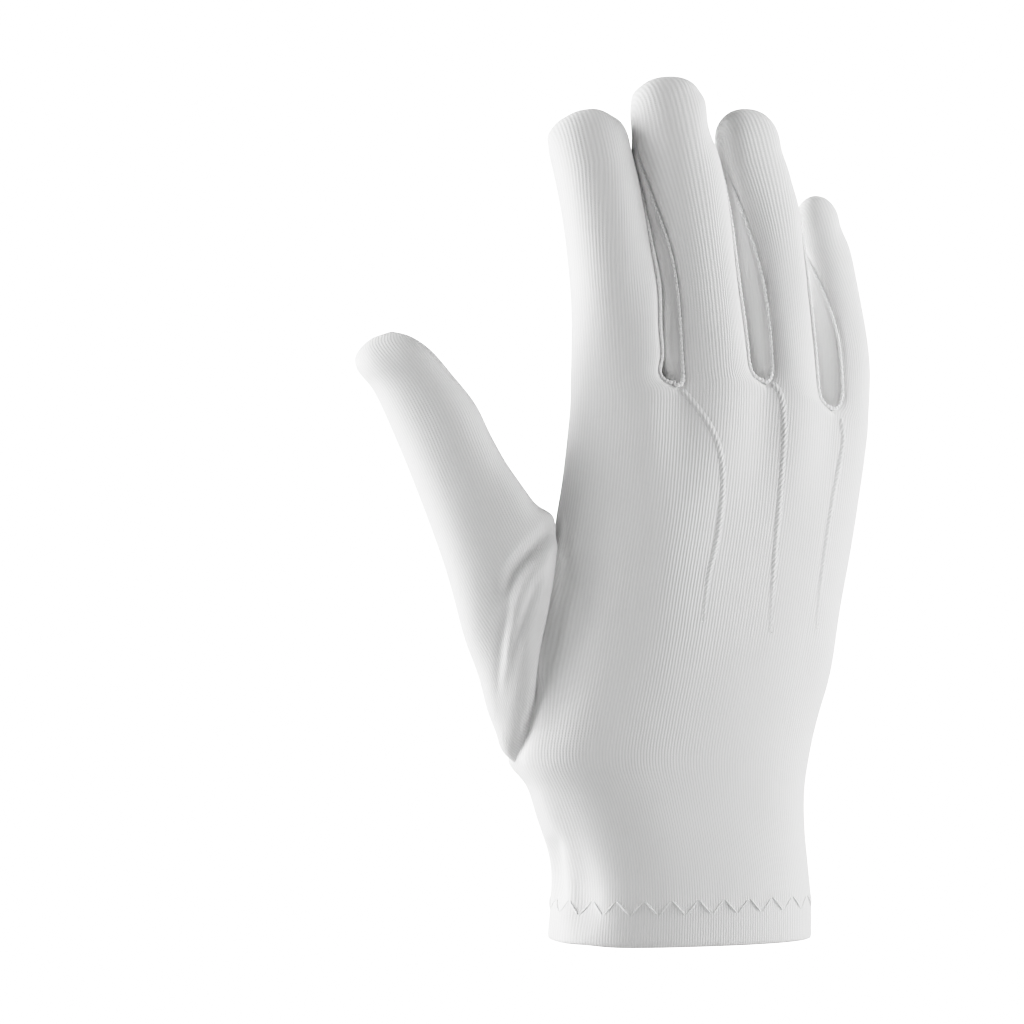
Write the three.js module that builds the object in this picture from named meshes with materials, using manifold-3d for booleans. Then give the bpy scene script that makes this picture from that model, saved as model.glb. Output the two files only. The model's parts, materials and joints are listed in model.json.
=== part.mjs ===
// A white parade glove for the right hand, filled as if worn, with the fingers up.
// Millimetres. The back of the hand faces -Y, the thumb points to -X, and the origin is the middle of the cuff's open end.
// The glove is sewn from one hand piece that folds round the forefinger side, three forks between the fingers,
// a set-in thumb, a turned-up hem and three raised seams on the back.
import * as THREE from "three";
import { mergeVertices } from "three/addons/utils/BufferGeometryUtils.js";
import Module from "manifold-3d";

const wasm = await Module();
wasm.setup();

// Cloth and sewing
const CLOTH = 1.0; // wall of the stretch knit
const SEAM_GAP = 0.3; // clearance between two pieces that are sewn together
const FORK_WIDTH = 13; // strip that forms the facing sides of two fingers
const HEM_HEIGHT = 11; // turned-up band at the wrist
const RAISED_SEAM_WIDTH = 1.7;
const RAISED_SEAM_HEIGHT = 1.1;

// Hand
const PALM_LENGTH = 156.5; // cuff edge to the crotch between the forefinger and the middle finger
const PALM_THICKNESS = 28; // at the knuckles
const CUFF_WIDTH = 77;
const CUFF_DEPTH = 44;
const KNUCKLE_ARCH = 5; // how far the edges of the hand drop towards the palm
const BACK_VALLEY = 2.6; // dip of the back between two knuckles
const PALM_VALLEY = 1.6;

// Fingers, from the crotch row to the tip
const FINGER_GAP = 1.8; // between two fingers at their roots
const INDEX_LENGTH = 81;
const INDEX_WIDTH = 25.4;
const MIDDLE_LENGTH = 88.5;
const MIDDLE_WIDTH = 23.8;
const RING_LENGTH = 83.5;
const RING_WIDTH = 20.5;
const LITTLE_LENGTH = 65.5;
const LITTLE_WIDTH = 16;
const FINGER_FLATNESS = 0.86; // thickness as a share of width
const FINGERTIP_LENGTH = 12; // rounded end
const CROTCH_RADIUS = 4.5; // bottom of the U between two fingers
const WEB_TILT = 4; // the palm end of each web lies this much nearer the thumb

// Thumb
const THUMB_LENGTH = 121; // height of the tip above the foot of the thumb
const THUMB_SPREAD = 44.5; // how far the tip stands out beyond the foot
const THUMB_THICKNESS = 23;
const THUMB_TURN = THREE.MathUtils.degToRad(22); // the thumb swings towards the palm
const THUMB_FOOT = 0.322; // height of the foot as a share of PALM_LENGTH

const TURN = 2 * Math.PI;
const rad = THREE.MathUtils.degToRad;

// A table with a row for each section is read as smooth curves through its columns. The first column is where the row lies.
function smoothTable(at, rows) {
  const keys = Object.keys(rows[0]).filter((key) => key !== at);
  const values = rows.flatMap((row) => keys.map((key) => row[key]));
  const curve = new THREE.CubicInterpolant(rows.map((row) => row[at]), values, keys.length);
  return (where) => {
    const found = curve.evaluate(THREE.MathUtils.clamp(where, rows[0][at], rows.at(-1)[at]));
    return Object.fromEntries(keys.map((key, i) => [key, found[i]]));
  };
}

// Squared cosine and sine, for sections between an ellipse and a box.
const SQUARENESS = 2.3;
const squared = (value, squareness = SQUARENESS) => Math.sign(value) * Math.abs(value) ** (2 / squareness);

// Hand piece: sections from the cuff to the finger roots.
// spread goes from the cuff's width (0) to the knuckles' (1), and flatten from the cuff's depth (0) to the palm's (1).
// shift is the middle's place to the side, as a share of the width at the knuckles.
const HAND_ROWS = [
  { up: 0.0, shift: 0.0, spread: 0.0, flatten: 0.0 },
  { up: 0.07, shift: 0.004, spread: -0.05, flatten: 0.07 },
  { up: 0.133, shift: 0.0, spread: -0.12, flatten: 0.15 },
  { up: 0.2, shift: -0.016, spread: -0.04, flatten: 0.21 },
  { up: 0.27, shift: -0.038, spread: 0.26, flatten: 0.25 },
  { up: 0.33, shift: -0.055, spread: 0.7, flatten: 0.285 },
  { up: 0.4, shift: -0.036, spread: 0.79, flatten: 0.34 },
  { up: 0.47, shift: -0.007, spread: 0.82, flatten: 0.42 },
  { up: 0.55, shift: 0.023, spread: 0.86, flatten: 0.52 },
  { up: 0.63, shift: 0.05, spread: 0.91, flatten: 0.63 },
  { up: 0.7, shift: 0.075, spread: 0.92, flatten: 0.75 },
  { up: 0.77, shift: 0.099, spread: 0.9, flatten: 0.87 },
  { up: 0.84, shift: 0.119, spread: 0.9, flatten: 0.99 },
  { up: 0.92, shift: 0.138, spread: 0.94, flatten: 1.13 },
  { up: 1.0, shift: 0.15, spread: 0.98, flatten: 1.27 },
];
const handRow = smoothTable("up", HAND_ROWS);

const WIDTHS = [INDEX_WIDTH, MIDDLE_WIDTH, RING_WIDTH, LITTLE_WIDTH];
const KNUCKLE_WIDTH = WIDTHS.reduce((sum, width) => sum + width, 0) + 3 * FINGER_GAP;

// Each gap's place across the knuckles, from -1 at the forefinger's side to 1 at the little finger's.
const gapAcross = [0, 1, 2].map((gap) => {
  const before = WIDTHS.slice(0, gap + 1).reduce((sum, width) => sum + width, 0) + (gap + 0.5) * FINGER_GAP;
  return (2 * before) / KNUCKLE_WIDTH - 1;
});
const tiltAcross = WEB_TILT / KNUCKLE_WIDTH;

// Height of the finger roots, as a share of PALM_LENGTH.
const rootRow = smoothTable("across", [
  { across: -1, height: 0.985 },
  { across: gapAcross[0], height: 1.0 },
  { across: gapAcross[1], height: 1.01 },
  { across: gapAcross[2], height: 0.965 },
  { across: 1, height: 0.93 },
]);

const VALLEY_SPAN = 0.17; // half-width of a valley, as a share of the hand's half-width
const VALLEY_START = 0.72; // where the valleys begin, from the cuff (0) to the finger roots (1)

// Hollows and folds of the cloth. Each is centred at a height (up) and an angle on the hand's section, in degrees as below,
// and fades over a height (reach) and an angle (breadth). lean is how far its angle moves over the hand's whole length, and
// depth is a share of PALM_THICKNESS, positive outwards.
const FOLDS = [
  { fold: "hollow beside the thumb's seam, on the back", up: 0.54, angle: 213, reach: 0.15, breadth: 11, lean: 20, depth: -0.055 },
  { fold: "dent above the hem, thumb side", up: 0.1, angle: 208, reach: 0.07, breadth: 12, lean: -40, depth: -0.06 },
  { fold: "pull from the dent towards the thumb", up: 0.2, angle: 196, reach: 0.07, breadth: 10, lean: -60, depth: 0.03 },
  { fold: "hollow of the palm", up: 0.66, angle: 82, reach: 0.17, breadth: 28, lean: 0, depth: -0.075 },
  { fold: "ball of the thumb, on the palm", up: 0.42, angle: 130, reach: 0.14, breadth: 24, lean: 30, depth: 0.08 },
  { fold: "crease over the wrist, on the palm", up: 0.15, angle: 100, reach: 0.045, breadth: 34, lean: 160, depth: -0.05 },
  { fold: "pucker at the side seam", up: 0.11, angle: 40, reach: 0.07, breadth: 12, lean: -60, depth: -0.045 },
  { fold: "flat over the wrist, on the back", up: 0.24, angle: 285, reach: 0.09, breadth: 30, lean: 0, depth: -0.03 },
];
function foldDepth(up, angle) {
  const degrees = THREE.MathUtils.euclideanModulo(THREE.MathUtils.radToDeg(angle), 360);
  return FOLDS.reduce((sum, fold) => {
    const away = THREE.MathUtils.euclideanModulo(degrees - fold.angle - fold.lean * (up - fold.up) + 180, 360) - 180;
    const shape = Math.exp(-(((up - fold.up) / fold.reach) ** 2) - (away / fold.breadth) ** 2);
    return sum + fold.depth * PALM_THICKNESS * shape;
  }, 0);
}

// A point of the hand's outer surface. up runs from the cuff (0) to the finger roots (1).
// angle is 0 at the little finger's side, a quarter turn at the palm, half a turn at the thumb's side.
function handPoint(up, angle) {
  const row = handRow(up);
  const halfWidth = (CUFF_WIDTH + (KNUCKLE_WIDTH - CUFF_WIDTH) * row.spread) / 2;
  const halfDepth = (CUFF_DEPTH + (PALM_THICKNESS - CUFF_DEPTH) * row.flatten) / 2;
  const across = squared(Math.cos(angle));
  const deep = squared(Math.sin(angle));
  const rise = THREE.MathUtils.smoothstep(up, VALLEY_START, 1);
  const nearGap = gapAcross.reduce((sum, gap) => {
    const place = gap - Math.sign(deep) * tiltAcross;
    return sum + Math.exp(-(((across - place) / VALLEY_SPAN) ** 2));
  }, 0);
  const valley = (deep < 0 ? BACK_VALLEY : PALM_VALLEY) * nearGap * rise;
  const arch = KNUCKLE_ARCH * up ** 2 * (across ** 2 - 1 / 3);
  const grow = foldDepth(up, angle);
  const x = row.shift * KNUCKLE_WIDTH + (halfWidth + grow) * across;
  const y = arch + deep * (halfDepth + grow - valley);
  const z = PALM_LENGTH * (up + (rootRow(across).height - 1) * up ** 4);
  return new THREE.Vector3(x, y, z);
}

// The angle at which a gap's web meets the back or the palm.
function gapAngle(gap, onPalm) {
  const across = gapAcross[gap] + (onPalm ? -tiltAcross : tiltAcross);
  const angle = Math.acos(Math.sign(across) * Math.abs(across) ** (SQUARENESS / 2));
  return onPalm ? angle : TURN - angle;
}

// Fingers: lean is to the side and curl towards the palm, in degrees at the root and at the tip. roll turns the back of the
// finger outwards, and set is how far the root's middle lies behind the hand's middle, as a share of PALM_THICKNESS.
const FINGERS = [
  { name: "index", length: INDEX_LENGTH, width: INDEX_WIDTH, lean: [-1.5, -6], curl: [2, 22], roll: -14, set: -0.03 },
  { name: "middle", length: MIDDLE_LENGTH, width: MIDDLE_WIDTH, lean: [-4, -5], curl: [1, 23], roll: 2, set: -0.06 },
  { name: "ring", length: RING_LENGTH, width: RING_WIDTH, lean: [-2.5, -5.5], curl: [2, 25], roll: 9, set: -0.03 },
  { name: "little", length: LITTLE_LENGTH, width: LITTLE_WIDTH, lean: [1, -5], curl: [3, 26], roll: 16, set: 0.02 },
];
// Width and thickness along a finger, as shares of those at its root.
const fingerRow = smoothTable("along", [
  { along: 0, wide: 1, thick: 1.04 },
  { along: 0.3, wide: 0.97, thick: 1.0 },
  { along: 0.55, wide: 0.97, thick: 0.99 },
  { along: 0.8, wide: 0.95, thick: 0.95 },
  { along: 1, wide: 0.93, thick: 0.88 },
]);
const TIP_FULLNESS = 2.6; // how square the rounded end is
const ROOT_BLEND = 30; // length over which a finger grows out of the hand
const CENTRE_STEPS = 32;

function fingerFrame(finger, along) {
  const lean = rad(THREE.MathUtils.lerp(finger.lean[0], finger.lean[1], along));
  const curl = rad(THREE.MathUtils.lerp(finger.curl[0], finger.curl[1], along));
  const up = new THREE.Vector3(Math.sin(lean) * Math.cos(curl), Math.sin(curl), Math.cos(lean) * Math.cos(curl));
  const side = new THREE.Vector3(Math.cos(rad(finger.roll)), Math.sin(rad(finger.roll)), 0);
  side.addScaledVector(up, -side.dot(up)).normalize();
  return { up, side, deep: new THREE.Vector3().crossVectors(up, side) };
}

// The middle of a finger at its root lies half-way between its neighbours' webs.
function fingerRoot(which) {
  const left = which === 0 ? -1 : gapAcross[which - 1];
  const right = which === 3 ? 1 : gapAcross[which];
  const across = (left + right) / 2;
  const x = (handRow(1).shift + across / 2) * KNUCKLE_WIDTH;
  const y = KNUCKLE_ARCH * (across ** 2 - 1 / 3) + FINGERS[which].set * PALM_THICKNESS;
  return new THREE.Vector3(x, y, PALM_LENGTH * rootRow(across).height);
}

function fingerCentre(which, along) {
  const finger = FINGERS[which];
  const place = fingerRoot(which);
  for (let i = 0; i < CENTRE_STEPS; i++)
    place.addScaledVector(fingerFrame(finger, ((i + 0.5) / CENTRE_STEPS) * along).up, (finger.length * along) / CENTRE_STEPS);
  return place;
}

// A point of a finger's own surface, before it is drawn to the hand.
function fingerPoint(which, along, angle) {
  const finger = FINGERS[which];
  const row = fingerRow(along);
  const frame = fingerFrame(finger, along);
  const fromCap = Math.max(0, (along - 1) * finger.length + FINGERTIP_LENGTH) / FINGERTIP_LENGTH;
  const cap = Math.max(0, 1 - fromCap ** TIP_FULLNESS) ** (1 / TIP_FULLNESS);
  const halfWidth = (finger.width / 2) * row.wide * cap;
  const halfDepth = (finger.width / 2) * FINGER_FLATNESS * row.thick * cap;
  return fingerCentre(which, along)
    .addScaledVector(frame.side, halfWidth * squared(Math.cos(angle)))
    .addScaledVector(frame.deep, halfDepth * squared(Math.sin(angle)));
}

// The outer surface of hand and fingers is one closed, welded mesh of faces. Each face is marked with the piece it belongs to,
// or with "seam" where it bridges the clearance between two pieces. A face ring lists its corners, seen from outside, in turn.
const points = [];
const faces = [];
const seams = []; // pairs of vertices that face each other across a seam
const welded = new Map();
const WELD = 1000; // two vertices closer than a millimetre divided by this are one

function vertex(point) {
  const key = [point.x, point.y, point.z].map((value) => Math.round(value * WELD)).join();
  if (!welded.has(key)) {
    welded.set(key, points.length);
    points.push(point.clone());
  }
  return welded.get(key);
}

function face(piece, corners, hemmed = false) {
  const ring = corners.filter((corner, i) => corner !== corners[(i + 1) % corners.length]);
  if (new Set(ring).size > 2) faces.push({ piece, ring, hemmed });
}

// Fills a grid of vertex numbers. Its rows go up and its columns go with the angle. The lowest ones may be hemmed.
function fillGrid(piece, grid, hemRows = 0) {
  for (let row = 0; row + 1 < grid.length; row++)
    for (let column = 0; column + 1 < grid[row].length; column++) {
      const corners = [grid[row][column], grid[row][column + 1], grid[row + 1][column + 1], grid[row + 1][column]];
      face(piece, corners, row < hemRows);
    }
}

// The strips of the hand piece, with the angles they cover below the fingers and the seams they end at on a finger.
const STRIPS = [
  { finger: 3, columns: 14, from: "leftBack", to: "leftPalm", wraps: true },
  { finger: 2, columns: 6, from: "rightPalm", to: "leftPalm" },
  { finger: 1, columns: 6, from: "rightPalm", to: "leftPalm" },
  { finger: 0, columns: 16, from: "rightPalm", to: "rightBack" },
  { finger: 1, columns: 6, from: "leftBack", to: "rightBack" },
  { finger: 2, columns: 6, from: "leftBack", to: "rightBack" },
];
const FORK_COLUMNS = 4;

// Angle on a finger's ring of each of its seams, for a fork that covers this half-angle.
const seamOnRing = {
  rightPalm: (half) => half,
  leftPalm: (half) => Math.PI - half,
  leftBack: (half) => Math.PI + half,
  rightBack: (half) => TURN - half,
};
// Angle on the hand where a seam of a finger starts.
const seamOnHand = (finger, seam) => gapAngle(seam.startsWith("left") ? finger - 1 : finger, seam.endsWith("Palm"));

function handAngles({ finger, from, to, columns, wraps }) {
  const start = seamOnHand(finger, from) - (wraps ? TURN : 0);
  return Array.from({ length: columns + 1 }, (_, i) => THREE.MathUtils.lerp(start, seamOnHand(finger, to), i / columns));
}

// Rows below the fingers: the hem first, then evenly up to the crotches.
const HAND_LEVELS = 15;
const hemTop = HEM_HEIGHT / PALM_LENGTH;
const handLevels = Array.from({ length: HAND_LEVELS }, (_, i) => THREE.MathUtils.lerp(hemTop, 1, i / (HAND_LEVELS - 1)));
handLevels.unshift(0);
for (const strip of STRIPS) {
  const grid = handLevels.map((up) => handAngles(strip).map((angle) => vertex(handPoint(up, angle))));
  fillGrid("hand_piece", grid, 1);
}

// Rows along a finger: close together round the bottom of the U and over the tip. The forks end at the one before the last
// of the straight part.
const SHAFT_SHARES = [0.12, 0.26, 0.42, 0.58, 0.74, 0.9, 1];
function fingerRows(which) {
  const length = FINGERS[which].length;
  const crotch = [0, 30, 60, 90].map((degrees) => (CROTCH_RADIUS * (1 - Math.cos(rad(degrees)))) / length);
  const shaftEnd = 1 - FINGERTIP_LENGTH / length;
  const shaft = SHAFT_SHARES.map((share) => THREE.MathUtils.lerp(crotch.at(-1), shaftEnd, share));
  const cap = [30, 52, 70, 82, 90].map((degrees) => shaftEnd + (FINGERTIP_LENGTH / length) * Math.sin(rad(degrees)));
  return [...crotch, ...shaft, ...cap];
}
const FORK_LEVELS = 4 + SHAFT_SHARES.length - 2; // rows that a fork has before its point

// Half the angle that a fork covers on the side of a finger. It narrows over the last rows and is nothing at its point.
function forkAngle(which, level) {
  const halfDepth = (FINGERS[which].width / 2) * FINGER_FLATNESS;
  const full = Math.asin(Math.min(0.85, FORK_WIDTH / 2 / halfDepth) ** (SQUARENESS / 2));
  return full * Math.cos((Math.PI / 2) * Math.max(0, (level - FORK_LEVELS + 4) / 4));
}

// Draws a finger's point to where the hand meets it. Beside a gap the sideways part closes the U. The rest fades slowly.
function drawnToHand(which, along, angle, handAt) {
  if (along === 0) return handAt.clone();
  const finger = FINGERS[which];
  const frame = fingerFrame(finger, along);
  const miss = handAt.clone().sub(fingerPoint(which, 0, angle));
  const travelled = finger.length * along;
  const inCrotch = 1 - Math.min(1, travelled / CROTCH_RADIUS);
  const round = 1 - Math.sqrt(1 - inCrotch ** 2);
  const fade = 1 - THREE.MathUtils.smoothstep(travelled, 0, ROOT_BLEND);
  const outside = (which === 0 && Math.cos(angle) < 0) || (which === 3 && Math.cos(angle) > 0) ? Math.abs(Math.cos(angle)) : 0;
  return fingerPoint(which, along, angle)
    .addScaledVector(frame.side, miss.dot(frame.side) * THREE.MathUtils.lerp(round, fade, THREE.MathUtils.smoothstep(outside, 0, 0.6)))
    .addScaledVector(frame.deep, miss.dot(frame.deep) * fade)
    .addScaledVector(frame.up, miss.dot(frame.up) * fade);
}

// Half a seam's clearance, as an angle on a finger's ring.
const seamAngle = (which) => SEAM_GAP / FINGERS[which].width;

const handEdges = {}; // columns of vertices along the hand piece's side of each seam
for (const strip of STRIPS) {
  const which = strip.finger;
  const angles = handAngles(strip);
  const grid = fingerRows(which).map((along, level) => {
    const edge = level < FORK_LEVELS ? forkAngle(which, level) + seamAngle(which) : 0;
    const from = seamOnRing[strip.from](edge) - (strip.wraps ? TURN : 0);
    const to = seamOnRing[strip.to](edge);
    return angles.map((angle, i) => {
      const onRing = THREE.MathUtils.lerp(from, to, i / strip.columns);
      return vertex(drawnToHand(which, along, onRing, handPoint(1, angle)));
    });
  });
  fillGrid("hand_piece", grid);
  handEdges[which + strip.from] = grid.map((row) => row[0]);
  handEdges[which + strip.to] = grid.map((row) => row.at(-1));
}

// Forks: one strip for each gap, up the side of the finger on its left and down from the one on its right.
const WEB_SAG = 0.07; // how far the middle of a web hangs, as a share of its depth
const FORK_POINT_BACK = 4; // a fork's point stops short of the seams' meeting by this many clearances
const FORKS = ["fork_index_middle", "fork_middle_ring", "fork_ring_little"];

// A column of a fork. share runs from the seam on the back (0) to the seam on the palm (1).
function forkColumn(gap, which, share) {
  const back = handPoint(1, gapAngle(gap, false));
  const palm = handPoint(1, gapAngle(gap, true));
  const clear = (2 * SEAM_GAP) / back.distanceTo(palm);
  const inset = THREE.MathUtils.lerp(clear, 1 - clear, share);
  const web = back.clone().lerp(palm, inset);
  web.z -= WEB_SAG * back.distanceTo(palm) * 4 * inset * (1 - inset);
  return fingerRows(which)
    .slice(0, FORK_LEVELS)
    .map((along, level) => {
      const turn = (forkAngle(which, level) - seamAngle(which)) * (1 - 2 * share);
      return vertex(drawnToHand(which, along, which === gap ? -turn : Math.PI + turn, web));
    });
}

FORKS.forEach((name, gap) => {
  for (const which of [gap, gap + 1]) {
    const columns = Array.from({ length: FORK_COLUMNS + 1 }, (_, i) => forkColumn(gap, which, i / FORK_COLUMNS));
    const end = fingerRows(which)[FORK_LEVELS] - (FORK_POINT_BACK * SEAM_GAP) / FINGERS[which].length;
    const tip = vertex(fingerPoint(which, end, which === gap ? 0 : Math.PI));
    const side = which === gap ? "right" : "left";
    const backSeam = [...columns[0], tip];
    const palmSeam = [...columns.at(-1), tip];
    const handBack = handEdges[which + side + "Back"];
    const handPalm = handEdges[which + side + "Palm"];
    const strip = [handBack.slice(0, FORK_LEVELS), ...columns, handPalm.slice(0, FORK_LEVELS)];
    if (which !== gap) strip.reverse();
    const pieceAt = (column) => (column === 0 || column === strip.length - 2 ? "seam" : name);
    for (let column = 0; column + 1 < strip.length; column++) {
      for (let level = 0; level + 1 < FORK_LEVELS; level++) {
        const corners = [strip[column][level], strip[column + 1][level], strip[column + 1][level + 1], strip[column][level + 1]];
        face(pieceAt(column), corners);
      }
      const [left, right] = [strip[column].at(-1), strip[column + 1].at(-1)];
      if (pieceAt(column) === name) face(name, [left, right, tip]);
      else if (column === 0) face("seam", [left, right, tip, handBack[FORK_LEVELS]]);
      else face("seam", [left, right, handBack[FORK_LEVELS], tip]);
    }
    backSeam.forEach((own, level) => seams.push([own, handBack[level]]));
    palmSeam.slice(0, -1).forEach((own, level) => seams.push([own, handPalm[level]]));
  }
});

// How far each vertex moves for one millimetre of thickness. Both sides of a seam move alike, and further at a sharp corner.
const MITRE_LIMIT = 0.72;
function outwardDirections() {
  const own = points.map(() => new THREE.Vector3());
  for (const { ring } of faces) {
    const [a, b, c] = ring.map((i) => points[i]);
    const last = points[ring.at(-1)];
    const normal = new THREE.Vector3().crossVectors(c.clone().sub(a), last.clone().sub(b));
    if (ring.length === 3) normal.crossVectors(b.clone().sub(a), c.clone().sub(a));
    for (const i of ring) own[i].add(normal);
  }
  own.forEach((direction) => direction.normalize());
  const shared = own.map((direction) => direction.clone());
  for (const [one, other] of seams) {
    shared[one].add(own[other]);
    shared[other].add(own[one]);
  }
  return shared.map((direction, i) => {
    direction.normalize();
    return direction.divideScalar(Math.max(MITRE_LIMIT, direction.dot(own[i])));
  });
}
const outward = outwardDirections();

const solidFrom = (geometry) => {
  const bare = new THREE.BufferGeometry().setAttribute("position", geometry.getAttribute("position")).setIndex(geometry.index);
  const merged = mergeVertices(bare, 1e-3);
  return new wasm.Manifold(
    new wasm.Mesh({ numProp: 3, vertProperties: merged.attributes.position.array, triVerts: new Uint32Array(merged.index.array) }),
  );
};
const geometryFrom = (solid) => {
  const mesh = solid.getMesh();
  return new THREE.BufferGeometry()
    .setAttribute("position", new THREE.BufferAttribute(new Float32Array(mesh.vertProperties), 3))
    .setIndex(new THREE.BufferAttribute(new Uint32Array(mesh.triVerts), 1));
};
const indexedGeometry = (vertices, triangles) =>
  new THREE.BufferGeometry()
    .setAttribute("position", new THREE.Float32BufferAttribute(vertices.flatMap((v) => [v.x, v.y, v.z]), 3))
    .setIndex(triangles);

// A sheet with thickness: faces, the same faces further in, and a strip along every open edge.
// outer and inner are distances from the glove's outer surface, positive outwards.
function sheet(own, outer, inner) {
  const numbers = new Map();
  const vertices = [];
  const place = (i, level) => {
    const key = `${i} ${level}`;
    if (!numbers.has(key)) {
      numbers.set(key, vertices.length);
      vertices.push(points[i].clone().addScaledVector(outward[i], level));
    }
    return numbers.get(key);
  };
  const triangles = [];
  const edges = new Map();
  for (const { ring } of own) {
    for (let i = 1; i + 1 < ring.length; i++) {
      triangles.push(place(ring[0], outer), place(ring[i], outer), place(ring[i + 1], outer));
      triangles.push(place(ring[0], inner), place(ring[i + 1], inner), place(ring[i], inner));
    }
    ring.forEach((from, i) => edges.set(`${from}>${ring[(i + 1) % ring.length]}`, [from, ring[(i + 1) % ring.length]]));
  }
  for (const [from, to] of edges.values()) {
    if (edges.has(`${to}>${from}`)) continue;
    triangles.push(place(from, outer), place(to, inner), place(to, outer));
    triangles.push(place(from, outer), place(from, inner), place(to, inner));
  }
  return indexedGeometry(vertices, triangles);
}
const clothOf = (piece) => sheet(faces.filter((f) => f.piece === piece), 0, -CLOTH);

// The whole filled hand, for trimming what is sewn onto it.
function filledHand(grow) {
  const vertices = points.map((point, i) => point.clone().addScaledVector(outward[i], grow));
  const triangles = [];
  const edges = new Map();
  for (const { ring } of faces) {
    for (let i = 1; i + 1 < ring.length; i++) triangles.push(ring[0], ring[i], ring[i + 1]);
    ring.forEach((from, i) => edges.set(`${from}>${ring[(i + 1) % ring.length]}`, [from, ring[(i + 1) % ring.length]]));
  }
  const middle = vertices.length;
  vertices.push(new THREE.Vector3());
  for (const [from, to] of edges.values()) if (!edges.has(`${to}>${from}`)) triangles.push(to, from, middle);
  return solidFrom(indexedGeometry(vertices, triangles));
}

// A closed solid from rings of equal length, with its ends filled.
function loft(rings) {
  const count = rings[0].length;
  const vertices = rings.flat();
  const triangles = [];
  for (let ring = 0; ring + 1 < rings.length; ring++)
    for (let i = 0; i < count; i++) {
      const [a, b] = [ring * count + i, ring * count + ((i + 1) % count)];
      triangles.push(a, b, b + count, a, b + count, a + count);
    }
  for (const [start, turned] of [[0, true], [(rings.length - 1) * count, false]]) {
    const middle = vertices.length;
    const sum = rings[start / count].reduce((total, v) => total.add(v), new THREE.Vector3());
    vertices.push(sum.divideScalar(count));
    for (let i = 0; i < count; i++) {
      const [a, b] = [start + i, start + ((i + 1) % count)];
      triangles.push(...(turned ? [middle, b, a] : [middle, a, b]));
    }
  }
  return indexedGeometry(vertices, triangles);
}

// Thumb: sections between its outer edge and its web edge. side is how far out a point lies beyond the foot, as a share of
// THUMB_SPREAD, and up its height above the foot, as a share of THUMB_LENGTH. thick is a share of THUMB_THICKNESS, and
// behind moves a section towards the palm, as a share of THUMB_THICKNESS.
const THUMB_ROWS = [
  { at: 0.0, outSide: -0.135, outUp: 0.006, inSide: -0.27, inUp: 0.41, thick: 0.38, behind: 0.1 },
  { at: 0.08, outSide: -0.004, outUp: 0.0, inSide: -0.28, inUp: 0.469, thick: 0.56, behind: 0.1 },
  { at: 0.16, outSide: 0.09, outUp: 0.088, inSide: -0.29, inUp: 0.522, thick: 0.73, behind: 0.1 },
  { at: 0.26, outSide: 0.198, outUp: 0.217, inSide: -0.26, inUp: 0.572, thick: 0.87, behind: 0.1 },
  { at: 0.38, outSide: 0.333, outUp: 0.349, inSide: -0.135, inUp: 0.613, thick: 0.98, behind: 0.1 },
  { at: 0.5, outSide: 0.449, outUp: 0.485, inSide: 0.007, inUp: 0.688, thick: 1.03, behind: 0.11 },
  { at: 0.62, outSide: 0.584, outUp: 0.62, inSide: 0.108, inUp: 0.758, thick: 1.02, behind: 0.13 },
  { at: 0.74, outSide: 0.737, outUp: 0.754, inSide: 0.213, inUp: 0.836, thick: 1.0, behind: 0.17 },
  { at: 0.84, outSide: 0.876, outUp: 0.861, inSide: 0.355, inUp: 0.898, thick: 0.93, behind: 0.2 },
  { at: 0.92, outSide: 0.993, outUp: 0.919, inSide: 0.528, inUp: 0.963, thick: 0.78, behind: 0.22 },
  { at: 0.97, outSide: 0.989, outUp: 0.956, inSide: 0.663, inUp: 0.992, thick: 0.48, behind: 0.24 },
  { at: 1.0, outSide: 0.888, outUp: 0.985, inSide: 0.764, inUp: 1.0, thick: 0.14, behind: 0.24 },
];
const thumbRow = smoothTable("at", THUMB_ROWS);
const THUMB_STEPS = 18;
const THUMB_COLUMNS = 20;
const THUMB_OUTSET = 2; // how far the foot stands out from the hand's edge

// The thumb's own plane stands upright and is turned about Z.
function thumbPlace(side, up, behind) {
  const foot = handPoint(THUMB_FOOT, Math.PI);
  const turned = new THREE.Vector3(-side, behind, 0).applyAxisAngle(new THREE.Vector3(0, 0, 1), -THUMB_TURN);
  return new THREE.Vector3(foot.x - THUMB_OUTSET, foot.y, THUMB_FOOT * PALM_LENGTH).add(turned).setZ(THUMB_FOOT * PALM_LENGTH + up);
}

function thumbRing(at, grow) {
  const row = thumbRow(at);
  const behind = row.behind * THUMB_THICKNESS;
  const outer = thumbPlace(row.outSide * THUMB_SPREAD, row.outUp * THUMB_LENGTH, behind);
  const inner = thumbPlace(row.inSide * THUMB_SPREAD, row.inUp * THUMB_LENGTH, behind);
  const middle = outer.clone().lerp(inner, 0.5);
  const halfWidth = outer.distanceTo(inner) / 2;
  const across = inner.clone().sub(outer).normalize();
  const deep = new THREE.Vector3(0, 1, 0).applyAxisAngle(new THREE.Vector3(0, 0, 1), -THUMB_TURN);
  const along = new THREE.Vector3().crossVectors(across, deep);
  const lengthen = Math.max(0, at * 3 - 2) * grow;
  return Array.from({ length: THUMB_COLUMNS }, (_, i) => {
    const angle = (i / THUMB_COLUMNS) * TURN;
    return middle
      .clone()
      .addScaledVector(across, Math.max(0.2, halfWidth + grow) * squared(Math.cos(angle)))
      .addScaledVector(deep, Math.max(0.2, (row.thick * THUMB_THICKNESS) / 2 + grow) * squared(Math.sin(angle)))
      .addScaledVector(along, lengthen);
  });
}
const thumbSolid = (grow) =>
  solidFrom(loft(Array.from({ length: THUMB_STEPS + 1 }, (_, i) => thumbRing(i / THUMB_STEPS, grow))));

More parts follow.
